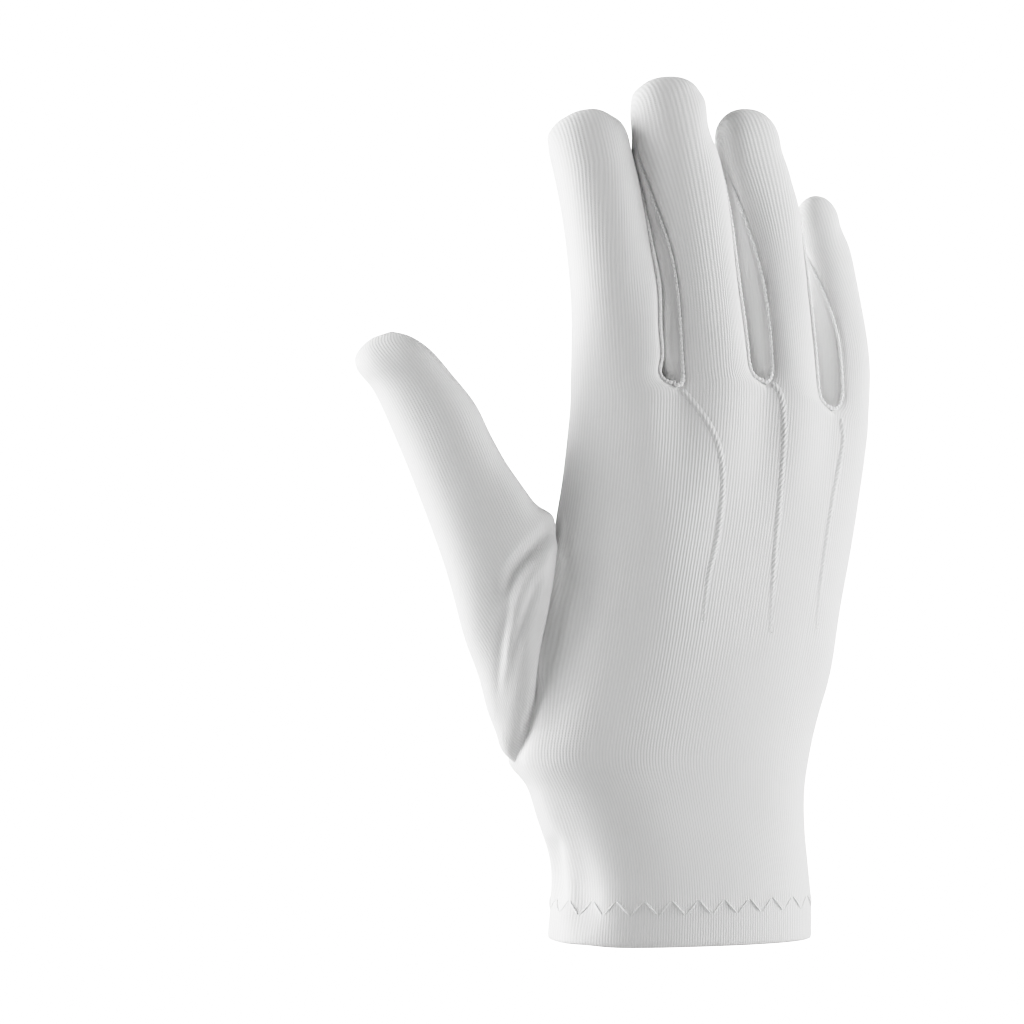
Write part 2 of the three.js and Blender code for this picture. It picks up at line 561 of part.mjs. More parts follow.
// Materials
const knit = (hex) => new THREE.MeshStandardMaterial({ color: hex, roughness: 0.85, metalness: 0 });
const CLOTH_WHITE = knit(0xecece9);
const FORK_WHITE = knit(0xe4e4e0);
const SEAM_WHITE = knit(0xf2f2ef);

const glove = new THREE.Group();
function addPiece(name, geometry, material) {
  const mesh = new THREE.Mesh(geometry, material);
  mesh.name = name;
  glove.add(mesh);
}

const handCloth = solidFrom(clothOf("hand_piece")).subtract(thumbSolid(SEAM_GAP));
addPiece("hand_piece", geometryFrom(handCloth), CLOTH_WHITE);
for (const name of FORKS) addPiece(name, clothOf(name), FORK_WHITE);

const clearOfHand = filledHand(SEAM_GAP);
const thumbCloth = thumbSolid(0).subtract(thumbSolid(-CLOTH)).subtract(clearOfHand);
addPiece("thumb", geometryFrom(thumbCloth), CLOTH_WHITE);

// The edge of the cuff is turned up inside.
const hem = sheet(faces.filter((f) => f.hemmed), -CLOTH - SEAM_GAP, -2 * CLOTH - SEAM_GAP);
addPiece("cuff_hem", hem, CLOTH_WHITE);

// Raised seams: each starts at a gap between two fingers and runs down the back. side is how far it lies from the gap towards
// the little finger, as a share of the hand's half-width.
const RAISED_SEAM_LENGTH = 0.41; // share of PALM_LENGTH
const RAISED_SEAM_START = 0.012; // below the crotch, as a share of PALM_LENGTH
const RAISED_SEAMS = [
  { name: "raised_seam_index", gap: 0, path: [0.03, 0.19, 0.29, 0.33, 0.34, 0.34, 0.35] },
  { name: "raised_seam_middle", gap: 1, path: [0.02, 0.12, 0.16, 0.18, 0.2, 0.23, 0.27] },
  { name: "raised_seam_ring", gap: 2, path: [0.05, 0.08, 0.08, 0.09, 0.09, 0.09, 0.1] },
];
const RAISED_STEPS = 15;
const RAISED_SECTION = [
  { across: 1, height: -1.2 },
  { across: 1, height: 0.35 },
  { across: 0.5, height: 0.9 },
  { across: -0.5, height: 0.9 },
  { across: -1, height: 0.35 },
  { across: -1, height: -1.2 },
];

function backPoint(up, across) {
  return handPoint(up, TURN - Math.acos(Math.sign(across) * Math.abs(across) ** (SQUARENESS / 2)));
}
function raisedSeam({ gap, path }) {
  const side = smoothTable("along", path.map((value, i) => ({ along: i / (path.length - 1), value })));
  const centre = (along) =>
    backPoint(1 - RAISED_SEAM_START - RAISED_SEAM_LENGTH * along, gapAcross[gap] + tiltAcross + side(along).value);
  return loft(
    Array.from({ length: RAISED_STEPS + 1 }, (_, i) => {
      const along = i / RAISED_STEPS;
      const step = 0.01;
      const here = centre(along);
      const forward = centre(along + step).sub(centre(along - step)).normalize();
      const slim = Math.min(1, 0.35 + 8 * Math.min(along, 1 - along));
      const across = new THREE.Vector3(0, -1, 0).cross(forward).normalize();
      const out = new THREE.Vector3().crossVectors(forward, across);
      return RAISED_SECTION.map((corner) =>
        here
          .clone()
          .addScaledVector(across, (corner.across * RAISED_SEAM_WIDTH * slim) / 2)
          .addScaledVector(out, corner.height * RAISED_SEAM_HEIGHT + SEAM_GAP),
      );
    }),
  );
}
for (const seam of RAISED_SEAMS) {
  const made = solidFrom(raisedSeam(seam));
  addPiece(seam.name, geometryFrom(made.subtract(clearOfHand)), SEAM_WHITE);
}

export default glove;
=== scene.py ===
# White parade glove for the right hand, filled as if worn, with the fingers up.
# The back of the hand faces -Y, the thumb points to -X, and the origin is the middle of the cuff's open end.
# Sizes are in millimetres until a mesh is made, and in metres from there on.
import json
import math

import bpy
import numpy as np
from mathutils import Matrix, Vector
from mathutils.bvhtree import BVHTree
from mathutils.kdtree import KDTree

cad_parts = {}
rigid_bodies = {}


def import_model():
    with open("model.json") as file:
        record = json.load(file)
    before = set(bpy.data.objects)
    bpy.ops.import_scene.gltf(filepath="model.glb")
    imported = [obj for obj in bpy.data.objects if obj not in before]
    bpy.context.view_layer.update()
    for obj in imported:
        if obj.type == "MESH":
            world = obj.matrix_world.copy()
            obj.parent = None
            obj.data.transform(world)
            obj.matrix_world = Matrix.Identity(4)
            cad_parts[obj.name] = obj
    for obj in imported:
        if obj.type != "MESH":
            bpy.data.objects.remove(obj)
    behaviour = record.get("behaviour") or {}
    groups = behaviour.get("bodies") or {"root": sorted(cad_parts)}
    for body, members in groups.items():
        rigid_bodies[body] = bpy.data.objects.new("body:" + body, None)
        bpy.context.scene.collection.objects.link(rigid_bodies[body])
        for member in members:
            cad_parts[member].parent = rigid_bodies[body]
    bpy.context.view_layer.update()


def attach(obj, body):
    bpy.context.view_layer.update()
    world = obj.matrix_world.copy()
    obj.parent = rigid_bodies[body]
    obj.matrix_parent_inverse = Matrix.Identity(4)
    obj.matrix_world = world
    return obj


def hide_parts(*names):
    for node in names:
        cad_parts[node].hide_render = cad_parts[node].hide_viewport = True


for leftover in list(bpy.data.objects):
    bpy.data.objects.remove(leftover)
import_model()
scene = bpy.context.scene

# Camera
# The photograph looks at the back of the hand from 22 degrees round towards the thumb, level, from about
# 1.3 metres.
CAMERA_DISTANCE = 1300.0
CAMERA_HEIGHT = 120.8
CAMERA_TURN = math.radians(-22)
CAMERA_YAW = math.radians(2.09)
FRAME_WIDTH = 289.1
SENSOR_WIDTH = 36.0
look = np.array([-math.sin(CAMERA_TURN), math.cos(CAMERA_TURN), 0.0])
across_view = np.array([math.cos(CAMERA_TURN), math.sin(CAMERA_TURN), 0.0])

camera_data = bpy.data.cameras.new("camera")
camera_data.sensor_width = SENSOR_WIDTH
camera_data.lens = SENSOR_WIDTH * CAMERA_DISTANCE / FRAME_WIDTH
camera_data.clip_end = 20.0
camera = bpy.data.objects.new("camera", camera_data)
scene.collection.objects.link(camera)
camera.location = Vector(-look * CAMERA_DISTANCE / 1000) + Vector((0, 0, CAMERA_HEIGHT / 1000))
camera.rotation_euler = (math.pi / 2, 0, CAMERA_TURN + CAMERA_YAW)
scene.camera = camera

# Hand piece
# One piece of fine white stretch knit makes the back, the palm and the fronts and backs of the four fingers.
# It is folded round the forefinger's side and closed by a seam at the little finger's side. It is filled, so
# it is taut on the back and slack at the fingertips, with soft folds at the wrist and beside the thumb.
CLOTH = 0.9
PALM_LENGTH = 156.5
PALM_THICKNESS = 28
CUFF_WIDTH = 77
CUFF_DEPTH = 44
KNUCKLE_ARCH = 5
KNUCKLE_SHIFT = 0.15
BACK_VALLEY = 2.6
PALM_VALLEY = 1.6
VALLEY_SPAN = 0.17
VALLEY_START = 0.72
FINGER_GAP = 1.8
WEB_TILT = 4
SQUARENESS = 2.3


def smooth_table(names, rows):
    """Reads a table as smooth curves through its columns. The first column is where each row lies."""
    keys = names.split()[1:]
    data = np.array(rows, float)
    at, values = data[:, 0], data[:, 1:]
    last = len(at) - 1

    def read(where):
        where = np.clip(np.asarray(where, float), at[0], at[-1])
        after = np.clip(np.searchsorted(at, where, side="right"), 1, last)
        before = after - 1
        start, end = at[before], at[after]
        first_gap, last_gap = before == 0, after == last
        sooner = np.where(first_gap, 2 * start - end, at[np.maximum(before - 1, 0)])
        later = np.where(last_gap, 2 * end - start, at[np.minimum(after + 1, last)])
        value_sooner = np.where(first_gap[..., None], values[after], values[np.maximum(before - 1, 0)])
        value_later = np.where(last_gap[..., None], values[before], values[np.minimum(after + 1, last)])
        half = (end - start) / 2
        pull, push = half / (start - sooner), half / (later - end)
        p = (where - start) / (end - start)
        shares = (
            (-pull * p**3 + 2 * pull * p**2 - pull * p, value_sooner),
            ((1 + pull) * p**3 - (1.5 + 2 * pull) * p**2 + (pull - 0.5) * p + 1, values[before]),
            ((-1 - push) * p**3 + (1.5 + push) * p**2 + 0.5 * p, values[after]),
            (push * p**3 - push * p**2, value_later),
        )
        found = sum(share[..., None] * value for share, value in shares)
        return {key: found[..., i] for i, key in enumerate(keys)}

    return read


def smoothstep(value, low=0.0, high=1.0):
    share = np.clip((value - low) / (high - low), 0, 1)
    return share * share * (3 - 2 * share)


def mix(one, other, share):
    return one + (other - one) * share


def squared(value):
    return np.sign(value) * np.abs(value) ** (2 / SQUARENESS)


def unit(vectors):
    return vectors / np.maximum(np.linalg.norm(vectors, axis=-1, keepdims=True), 1e-9)


hand_row = smooth_table(
    "up shift spread flatten",
    [
        (0.0, 0.0, 0.0, 0.0),
        (0.07, 0.004, -0.05, 0.07),
        (0.133, 0.0, -0.12, 0.15),
        (0.2, -0.016, -0.04, 0.21),
        (0.27, -0.038, 0.26, 0.25),
        (0.33, -0.055, 0.7, 0.285),
        (0.4, -0.036, 0.79, 0.34),
        (0.47, -0.007, 0.82, 0.42),
        (0.55, 0.023, 0.86, 0.52),
        (0.63, 0.05, 0.91, 0.63),
        (0.7, 0.075, 0.92, 0.75),
        (0.77, 0.099, 0.9, 0.87),
        (0.84, 0.119, 0.9, 0.99),
        (0.92, 0.138, 0.94, 1.13),
        (1.0, 0.15, 0.98, 1.27),
    ],
)

# Each finger's length from the crotch row to the tip, its width, how far it leans sideways and curls towards
# the palm at its root and at its tip, how far its back is rolled outwards, and how far its root is set back.
FINGERS = [
    dict(name="index", length=81.0, width=25.4, lean=(-1.5, -6), curl=(2, 22), roll=-14, back=-0.03),
    dict(name="middle", length=88.5, width=23.8, lean=(-4, -5), curl=(1, 23), roll=2, back=-0.06),
    dict(name="ring", length=83.5, width=20.5, lean=(-2.5, -5.5), curl=(2, 25), roll=9, back=-0.03),
    dict(name="little", length=65.5, width=16.0, lean=(1, -5), curl=(3, 26), roll=16, back=0.02),
]
WIDTHS = [finger["width"] for finger in FINGERS]
KNUCKLE_WIDTH = sum(WIDTHS) + 3 * FINGER_GAP
gap_across = [2 * (sum(WIDTHS[: gap + 1]) + (gap + 0.5) * FINGER_GAP) / KNUCKLE_WIDTH - 1 for gap in range(3)]
tilt_across = WEB_TILT / KNUCKLE_WIDTH
root_row = smooth_table(
    "across height",
    [(-1, 0.985), (gap_across[0], 1.0), (gap_across[1], 1.01), (gap_across[2], 0.965), (1, 0.93)],
)

# Broad hollows and folds: how high and at which angle round the hand each one lies, how far it reaches, its
# lean and its depth.
HOLLOWS = [
    dict(up=0.54, angle=213, reach=0.15, breadth=11, lean=20, depth=-0.055),
    dict(up=0.1, angle=208, reach=0.07, breadth=12, lean=-40, depth=-0.06),
    dict(up=0.2, angle=196, reach=0.07, breadth=10, lean=-60, depth=0.03),
    dict(up=0.66, angle=82, reach=0.17, breadth=28, lean=0, depth=-0.075),
    dict(up=0.42, angle=130, reach=0.14, breadth=24, lean=30, depth=0.08),
    dict(up=0.15, angle=100, reach=0.045, breadth=34, lean=160, depth=-0.05),
    dict(up=0.11, angle=40, reach=0.07, breadth=12, lean=-60, depth=-0.045),
    dict(up=0.24, angle=285, reach=0.09, breadth=30, lean=0, depth=-0.03),
]


def hollow_depth(up, angle):
    total = 0.0
    for hollow in HOLLOWS:
        away = np.degrees(angle) - hollow["angle"] - hollow["lean"] * (up - hollow["up"])
        away = (away + 180) % 360 - 180
        near = np.exp(-(((up - hollow["up"]) / hollow["reach"]) ** 2) - (away / hollow["breadth"]) ** 2)
        total = total + hollow["depth"] * PALM_THICKNESS * near
    return total


def hand_point(up, angle):
    """The outer surface from the cuff (0) to the finger roots (1). Angle 0 is the little finger's side."""
    up, angle = np.broadcast_arrays(np.asarray(up, float), np.asarray(angle, float))
    row = hand_row(up)
    half_width = (CUFF_WIDTH + (KNUCKLE_WIDTH - CUFF_WIDTH) * row["spread"]) / 2
    half_depth = (CUFF_DEPTH + (PALM_THICKNESS - CUFF_DEPTH) * row["flatten"]) / 2
    across, deep = squared(np.cos(angle)), squared(np.sin(angle))
    tilted = across + np.sign(deep) * tilt_across
    near_gap = sum(np.exp(-(((tilted - gap) / VALLEY_SPAN) ** 2)) for gap in gap_across)
    valley = np.where(deep < 0, BACK_VALLEY, PALM_VALLEY) * near_gap * smoothstep(up, VALLEY_START, 1)
    arch = KNUCKLE_ARCH * up**2 * (across**2 - 1 / 3)
    grow = hollow_depth(up, angle)
    x = row["shift"] * KNUCKLE_WIDTH + (half_width + grow) * across
    y = arch + deep * (half_depth + grow - valley)
    z = PALM_LENGTH * (up + (root_row(across)["height"] - 1) * up**4)
    return np.stack([x, y, z], -1)


def gap_angle(gap, on_palm):
    """The angle round the hand at which a gap's web meets the back or the palm."""
    across = gap_across[gap] + (-tilt_across if on_palm else tilt_across)
    angle = math.acos(math.copysign(abs(across) ** (SQUARENESS / 2), across))
    return angle if on_palm else 2 * math.pi - angle


FINGER_FLATNESS = 0.86
FINGERTIP_LENGTH = 12
TIP_FULLNESS = 2.6
CROTCH_RADIUS = 4.5
ROOT_BLEND = 30
finger_row = smooth_table(
    "along wide thick",
    [(0, 1, 1.04), (0.3, 0.97, 1), (0.55, 0.97, 0.99), (0.8, 0.95, 0.95), (1, 0.93, 0.88)],
)


def finger_frame(which, along):
    finger = FINGERS[which]
    lean = np.radians(mix(finger["lean"][0], finger["lean"][1], along))
    curl = np.radians(mix(finger["curl"][0], finger["curl"][1], along))
    up = np.stack([np.sin(lean) * np.cos(curl), np.sin(curl), np.cos(lean) * np.cos(curl)], -1)
    side = np.array([math.cos(math.radians(finger["roll"])), math.sin(math.radians(finger["roll"])), 0.0])
    side = unit(side - up * (up @ side)[..., None])
    return up, side, np.cross(up, side)


CENTRE_STEPS = 240
finger_centres = []
for which, finger in enumerate(FINGERS):
    left = -1 if which == 0 else gap_across[which - 1]
    right = 1 if which == 3 else gap_across[which]
    middle = (left + right) / 2
    root = np.array(
        [
            (KNUCKLE_SHIFT + middle / 2) * KNUCKLE_WIDTH,
            KNUCKLE_ARCH * (middle**2 - 1 / 3) + finger["back"] * PALM_THICKNESS,
            PALM_LENGTH * float(root_row(middle)["height"]),
        ]
    )
    along = (np.arange(CENTRE_STEPS) + 0.5) / CENTRE_STEPS
    steps = finger_frame(which, along)[0] * finger["length"] / CENTRE_STEPS
    finger_centres.append(np.vstack([root, root + np.cumsum(steps, 0)]))


def finger_point(which, along, angle):
    """A finger's own surface, before it is drawn to the hand. along and angle are arrays of one shape."""
    finger = FINGERS[which]
    row = finger_row(along)
    _, side, deep = finger_frame(which, along)
    into_cap = np.maximum(0, (along - 1) * finger["length"] + FINGERTIP_LENGTH) / FINGERTIP_LENGTH
    cap = np.maximum(0, 1 - into_cap**TIP_FULLNESS) ** (1 / TIP_FULLNESS)
    half_width = finger["width"] / 2 * row["wide"] * cap
    half_depth = finger["width"] / 2 * FINGER_FLATNESS * row["thick"] * cap
    step = np.asarray(along) * CENTRE_STEPS
    low = np.minimum(step.astype(int), CENTRE_STEPS - 1)
    centres = finger_centres[which]
    centre = mix(centres[low], centres[low + 1], (step - low)[..., None])
    return (
        centre
        + side * (half_width * squared(np.cos(angle)))[..., None]
        + deep * (half_depth * squared(np.sin(angle)))[..., None]
    )


def drawn_to_hand(which, along, angle, hand_at):
    """Draws a finger's surface to where the hand meets it. Beside a gap the sideways part closes the U."""
    along, angle = np.broadcast_arrays(along, angle)
    finger = FINGERS[which]
    own = finger_point(which, along, angle)
    up, side, deep = finger_frame(which, along)
    miss = hand_at - finger_point(which, np.zeros_like(angle), angle)
    travelled = finger["length"] * along
    in_crotch = 1 - np.minimum(1, travelled / CROTCH_RADIUS)
    round_in = 1 - np.sqrt(1 - in_crotch**2)
    fade = 1 - smoothstep(travelled, 0, ROOT_BLEND)
    outward_side = {0: -np.cos(angle), 3: np.cos(angle)}.get(which, np.zeros_like(angle))
    sideways = mix(round_in, fade, smoothstep(np.maximum(outward_side, 0), 0, 0.6))
    for direction, share in ((side, sideways), (deep, fade), (up, fade)):
        own = own + direction * (np.sum(miss * direction, -1) * share)[..., None]
    return own


# Rows and columns of the fine surface, about a millimetre apart.
HAND_ROWS = 146
CROTCH_STEPS = 9
SHAFT_STEP = 1.08
CAP_ANGLES = np.radians([6, 12, 18, 25, 32, 39, 46, 53, 60, 66, 72, 77, 82, 86, 90])
FORK_WIDTH = 13
FORK_START, FORK_END = 0.26, 0.9
STRIPS = [
    dict(finger=3, columns=42, start="leftBack", end="leftPalm", wraps=True),
    dict(finger=2, columns=20, start="rightPalm", end="leftPalm", wraps=False),
    dict(finger=1, columns=23, start="rightPalm", end="leftPalm", wraps=False),
    dict(finger=0, columns=56, start="rightPalm", end="rightBack", wraps=False),
    dict(finger=1, columns=23, start="leftBack", end="rightBack", wraps=False),
    dict(finger=2, columns=20, start="leftBack", end="rightBack", wraps=False),
]


def finger_rows(which):
    """Rows along a finger as shares of its length, and how far up its straight part each one lies."""
    length = FINGERS[which]["length"]
    crotch = CROTCH_RADIUS * (1 - np.cos(np.linspace(0, math.pi / 2, CROTCH_STEPS + 1))) / length
    shaft_end = 1 - FINGERTIP_LENGTH / length
    steps = round((shaft_end - crotch[-1]) * length / SHAFT_STEP)
    shaft = np.linspace(crotch[-1], shaft_end, steps + 1)[1:]
    cap = shaft_end + FINGERTIP_LENGTH / length * np.sin(CAP_ANGLES)
    rows = np.concatenate([crotch, shaft, cap])
    return rows, (rows - crotch[-1]) / (shaft_end - crotch[-1])


def fork_angle(which, share):
    """Half the angle that a fork covers on a finger's side. It narrows to a point below the fingertip."""
    half_depth = FINGERS[which]["width"] / 2 * FINGER_FLATNESS
    full = math.asin(min(0.85, FORK_WIDTH / 2 / half_depth) ** (SQUARENESS / 2))
    narrowing = np.clip((share - FORK_START) / (FORK_END - FORK_START), 0, 1)
    angle = full * np.cos(math.pi / 2 * narrowing)
    return np.where(share >= FORK_END, 0, angle)


def on_ring(seam, half):
    turns = {
        "rightPalm": half,
        "leftPalm": math.pi - half,
        "leftBack": math.pi + half,
        "rightBack": 2 * math.pi - half,
    }
    return turns[seam]


def on_hand(finger, seam):
    return gap_angle(finger - 1 if seam.startswith("left") else finger, seam.endswith("Palm"))


# The skin is gathered grid by grid: every grid has its points, its place on the knit, and the finger and
# piece that it is part of.
skin_places = []
skin_knit = []
skin_faces = []
skin_pieces = []
skin_fingers = []
skin_grids = []
skin_count = 0


def grid_faces(rows, columns, first=0):
    number = first + np.arange(rows * columns).reshape(rows, columns)
    corners = (number[:-1, :-1], number[:-1, 1:], number[1:, 1:], number[1:, :-1])
    return np.stack(corners, -1).reshape(-1, 4)


def add_grid(piece, which, grid, knit, first_finger_row=0):
    """Adds a grid of points whose rows go up and whose columns go with the angle, seen from outside."""
    global skin_count
    rows, columns = grid.shape[:2]
    number = skin_count + np.arange(rows * columns).reshape(rows, columns)
    corners = grid_faces(rows, columns, skin_count)
    skin_places.append(grid.reshape(-1, 3))
    skin_knit.append(knit.reshape(-1, 2))
    skin_faces.append(corners)
    skin_pieces.extend([piece] * len(corners))
    skin_fingers.append(np.repeat(np.where(np.arange(rows) > first_finger_row, which, -1), columns))
    skin_grids.append(number)
    skin_count += rows * columns


SEAM_CROWDING = 0.5
SHORT_ROWS = [0.0, 0.0016, 0.0034]
GIRTH_HEIGHT = 0.8
STRAIGHT_BEFORE, STRAIGHT_AFTER = 8, 4


def crowded(count):
    """Even shares from 0 to 1, closer together at both ends, where the seams are."""
    even = np.linspace(0, 1, count + 1)
    return even - SEAM_CROWDING * np.sin(2 * math.pi * even) / (2 * math.pi)


def travelled_along(line):
    """How far each point of a line lies along it."""
    return np.concatenate([[0], np.cumsum(np.linalg.norm(np.diff(line, axis=0), axis=1))])


def paired(across, along):
    """Two arrays spread to one shape and put together, as places on the knit."""
    return np.stack(np.broadcast_arrays(across, along), -1)


hand_levels = np.concatenate([SHORT_ROWS, np.linspace(0, 1, HAND_ROWS + 1)[1:]])
wale = 0.0
for strip in STRIPS:
    which, columns = strip["finger"], strip["columns"]
    turn_back = 2 * math.pi if strip["wraps"] else 0
    angles = mix(on_hand(which, strip["start"]) - turn_back, on_hand(which, strip["end"]), crowded(columns))
    below = hand_point(hand_levels[:, None], angles[None, :])
    rows, share = finger_rows(which)
    half = fork_angle(which, share)
    start, end = on_ring(strip["start"], half) - turn_back, on_ring(strip["end"], half)
    ring = mix(start[:, None], end[:, None], crowded(columns)[None, :])
    above = drawn_to_hand(which, rows[:, None], ring, hand_point(1.0, angles)[None])
    above[0] = below[-1]
    wales = wale + travelled_along(hand_point(GIRTH_HEIGHT, angles))
    wale = wales[-1]
    courses = np.concatenate([hand_levels * PALM_LENGTH, PALM_LENGTH + rows[1:] * FINGERS[which]["length"]])
    knit = paired(wales[None, :], courses[:, None])

    # The ribs don't crowd together at the fingertip: they run on straight, and the seams cut them off.
    cap_start = len(rows) - len(CAP_ANGLES) - 1
    right_side = finger_point(which, rows, np.zeros(len(rows)))
    left_side = finger_point(which, rows, np.full(len(rows), math.pi))
    middle = (right_side + left_side) / 2
    aside = np.sum((above - middle[:, None]) * finger_frame(which, rows)[1][:, None], axis=-1)
    outermost = {0: np.argmin, 3: np.argmax}.get(which)
    parts = [slice(0, columns + 1)]
    if outermost:
        turn = int(outermost(aside[cap_start]))
        parts = [slice(0, turn + 1), slice(turn, columns + 1)]
    straight = np.empty_like(aside)
    for part in parts:
        order = np.argsort(aside[cap_start, part])
        straight[:, part] = np.interp(aside[:, part], aside[cap_start, part][order], wales[part][order])
    straight_rows = cap_start - STRAIGHT_BEFORE, cap_start + STRAIGHT_AFTER
    in_cap = smoothstep(np.arange(len(rows)), *straight_rows)[:, None]
    knit[len(below) :, :, 0] = mix(wales[None, :], straight, in_cap)[1:]
    add_grid("hand_piece", which, np.vstack([below, above[1:]]), knit, len(below) - 1)

# Forks
# Three narrow strips of the same knit form the facing sides of two fingers and the web between them. Each is
# sewn to the hand piece along both edges: up the side of the finger on its left and down the next one.
FORKS = ["fork_index_middle", "fork_middle_ring", "fork_ring_little"]
FORK_COLUMNS = 13
WEB_SAG = 0.07
for gap, name in enumerate(FORKS):
    back, palm = hand_point(1.0, gap_angle(gap, False)), hand_point(1.0, gap_angle(gap, True))
    across_web = crowded(FORK_COLUMNS)
    web = mix(back, palm, across_web[:, None])
    web[:, 2] -= WEB_SAG * np.linalg.norm(back - palm) * 4 * across_web * (1 - across_web)
    for which in (gap, gap + 1):
        rows, share = finger_rows(which)
        last = int(np.argmax(share >= FORK_END)) + 1
        turn = fork_angle(which, share[:last, None]) * (1 - 2 * across_web[None, :])
        angle = -turn if which == gap else math.pi + turn
        grid = drawn_to_hand(which, rows[:last, None], angle, web[None])
        grid[0] = web
        course = rows[:last, None] * FINGERS[which]["length"]
        knit = paired(across_web[None, :] * FORK_WIDTH, course)
        if which == gap:
            add_grid(name, which, grid, knit)
        else:
            add_grid(name, which, grid[:, ::-1], knit[:, ::-1])

# Sewn skin
# Hand piece and forks are sewn together and filled as one skin, so folds and smoothing run over the seams.
# The stretch rounds the finger roots, and the cloth follows the hand in between.
WELD = 2000


def welded(raw):
    """Joins points that lie at one place: the first point of each place, and every point's number there."""
    keys = np.round(raw * WELD).astype(np.int64)
    _, first, join = np.unique(keys, axis=0, return_index=True, return_inverse=True)
    return first, join.reshape(-1)


raw_places = np.vstack(skin_places)
raw_knit = np.vstack(skin_knit)
raw_faces = np.vstack(skin_faces)
face_pieces = np.array(skin_pieces)
first_of, weld = welded(raw_places)
place = raw_places[first_of]
on_finger = np.concatenate(skin_fingers)[first_of]
first_height = place[:, 2].copy()
quads = weld[raw_faces]


def edges_of(faces):
    pairs = np.vstack([faces[:, [i, (i + 1) % 4]] for i in range(4)])
    pairs = pairs[pairs[:, 0] != pairs[:, 1]]
    return np.unique(np.sort(pairs, 1), axis=0)


def averaged(values, edges, count):
    """Each vertex's neighbours' average."""
    total = np.zeros((count, values.shape[1]))
    number = np.bincount(edges.ravel(), minlength=count)
    for column in range(values.shape[1]):
        total[:, column] += np.bincount(edges[:, 0], values[edges[:, 1], column], count)
        total[:, column] += np.bincount(edges[:, 1], values[edges[:, 0], column], count)
    return total / np.maximum(number, 1)[:, None]


def outward_normals(points, faces):
    diagonals = np.cross(points[faces[:, 2]] - points[faces[:, 0]], points[faces[:, 3]] - points[faces[:, 1]])
    total = np.zeros_like(points)
    for corner in range(4):
        for axis in range(3):
            total[:, axis] += np.bincount(faces[:, corner], diagonals[:, axis], len(points))
    return unit(total)


ROOT_REACH = 11
ROOT_ROUNDS = 14
skin_edges = edges_of(quads)
across_knuckles = np.clip((place[:, 0] - KNUCKLE_SHIFT * KNUCKLE_WIDTH) / (KNUCKLE_WIDTH / 2), -1, 1)
crotch_heights = PALM_LENGTH * root_row(across_knuckles)["height"]
near_roots = np.exp(-(((place[:, 2] - crotch_heights) / ROOT_REACH) ** 2))
for _ in range(ROOT_ROUNDS):
    place = place + (averaged(place, skin_edges, len(place)) - place) * (0.5 * near_roots)[:, None]

# Small shapes are placed by where they show in the photograph's frame, by pixel.
PICTURE_WIDTH = 1024
MIDDLE_COLUMN = 680
CUFF_ROW = 940
PIXEL = FRAME_WIDTH / PICTURE_WIDTH


def in_picture(place):
    """Where points show in the picture: across and up, in millimetres at the glove's own distance."""
    depth = CAMERA_DISTANCE / (CAMERA_DISTANCE + place @ look)
    up = CAMERA_HEIGHT + (place[..., 2] - CAMERA_HEIGHT) * depth
    return np.stack([place @ across_view * depth, up], -1)


def picture(px, py):
    """A pixel of the picture as millimetres across and up in it."""
    return ((px - MIDDLE_COLUMN) * PIXEL, (CUFF_ROW - py) * PIXEL)


def near_pixel(flat, px, py, reach_across, reach_up):
    """How near points of the picture are to a pixel, from 0 to 1."""
    away = (flat - np.array(picture(px, py))) / (PIXEL * np.array([reach_across, reach_up]))
    return np.exp(-np.sum(away**2, axis=-1))[:, None]


def moved_in_picture(points, moves):
    """Moves what shows near some pixels: each move's reach across and up, then how far right and down."""
    flat = in_picture(points)
    moved = points.copy()
    for px, py, reach_across, reach_up, right, down in moves:
        near = near_pixel(flat, px, py, reach_across, reach_up)
        moved += near * PIXEL * (right * across_view - down * np.array([0.0, 0.0, 1.0]))
    return moved


def pushed_in_picture(points, pushes):
    """Pushes what shows near some pixels away from the camera, in millimetres. The outline stays."""
    flat = in_picture(points)
    moved = points.copy()
    for px, py, reach_across, reach_up, away in pushes:
        moved += near_pixel(flat, px, py, reach_across, reach_up) * away * look
    return moved


# The slack fingertips have corners and slopes of their own, and the forefinger lies close beside the middle
# finger. Each list holds one finger's moves.
FINGER_MOVES = [
    [
        (654, 250, 14, 75, 3.2, 0),
        (650, 300, 12, 46, 5.5, 0),
        (656, 355, 9, 24, 4, 0),
        (561, 110, 11, 10, 0, 2),
        (616, 109, 12, 10, 0, 3),
        (547, 134, 8, 8, -2.5, 1),
        (552, 245, 24, 120, 5.5, 0),
    ],
    [
        (652, 240, 13, 85, -7, 0),
        (667, 350, 9, 34, -6, 0),
        (640, 165, 10, 36, -6, 0),
        (714, 126, 9, 26, -4.5, 0),
        (634, 93, 7, 8, -2, 0),
        (700, 92, 8, 7, 0, 2),
    ],
    [(786, 150, 9, 14, -2, 0), (798, 205, 8, 24, 2, 0)],
    [(846, 226, 9, 16, -4, 0), (818, 200, 24, 10, 0, -3.5)],
]
ROOT_FADE = 9
root_fade = smoothstep(place[:, 2] - crotch_heights, 0, ROOT_FADE)[:, None]
for which, moves in enumerate(FINGER_MOVES):
    moved = mix(place, moved_in_picture(place, moves), root_fade)
    place = np.where((on_finger == which)[:, None], moved, place)

# The outlines of the wrist and the cuff, the little finger's side, and the cloth that the thumb's seam draws
# in, differ a little from the solids.
HAND_MOVES = [
    (510, 766, 12, 20, -9, 0),
    (538, 824, 20, 32, -3.5, 0),
    (868, 362, 16, 50, 4, 0),
    (549, 938, 16, 12, 0, -3),
    (580, 942, 24, 12, 0, -2.5),
    (556, 625, 18, 58, -13, 0),
    (548, 668, 14, 30, -8, 0),
    (828, 680, 16, 60, 4, 0),
]
place = moved_in_picture(place, HAND_MOVES)

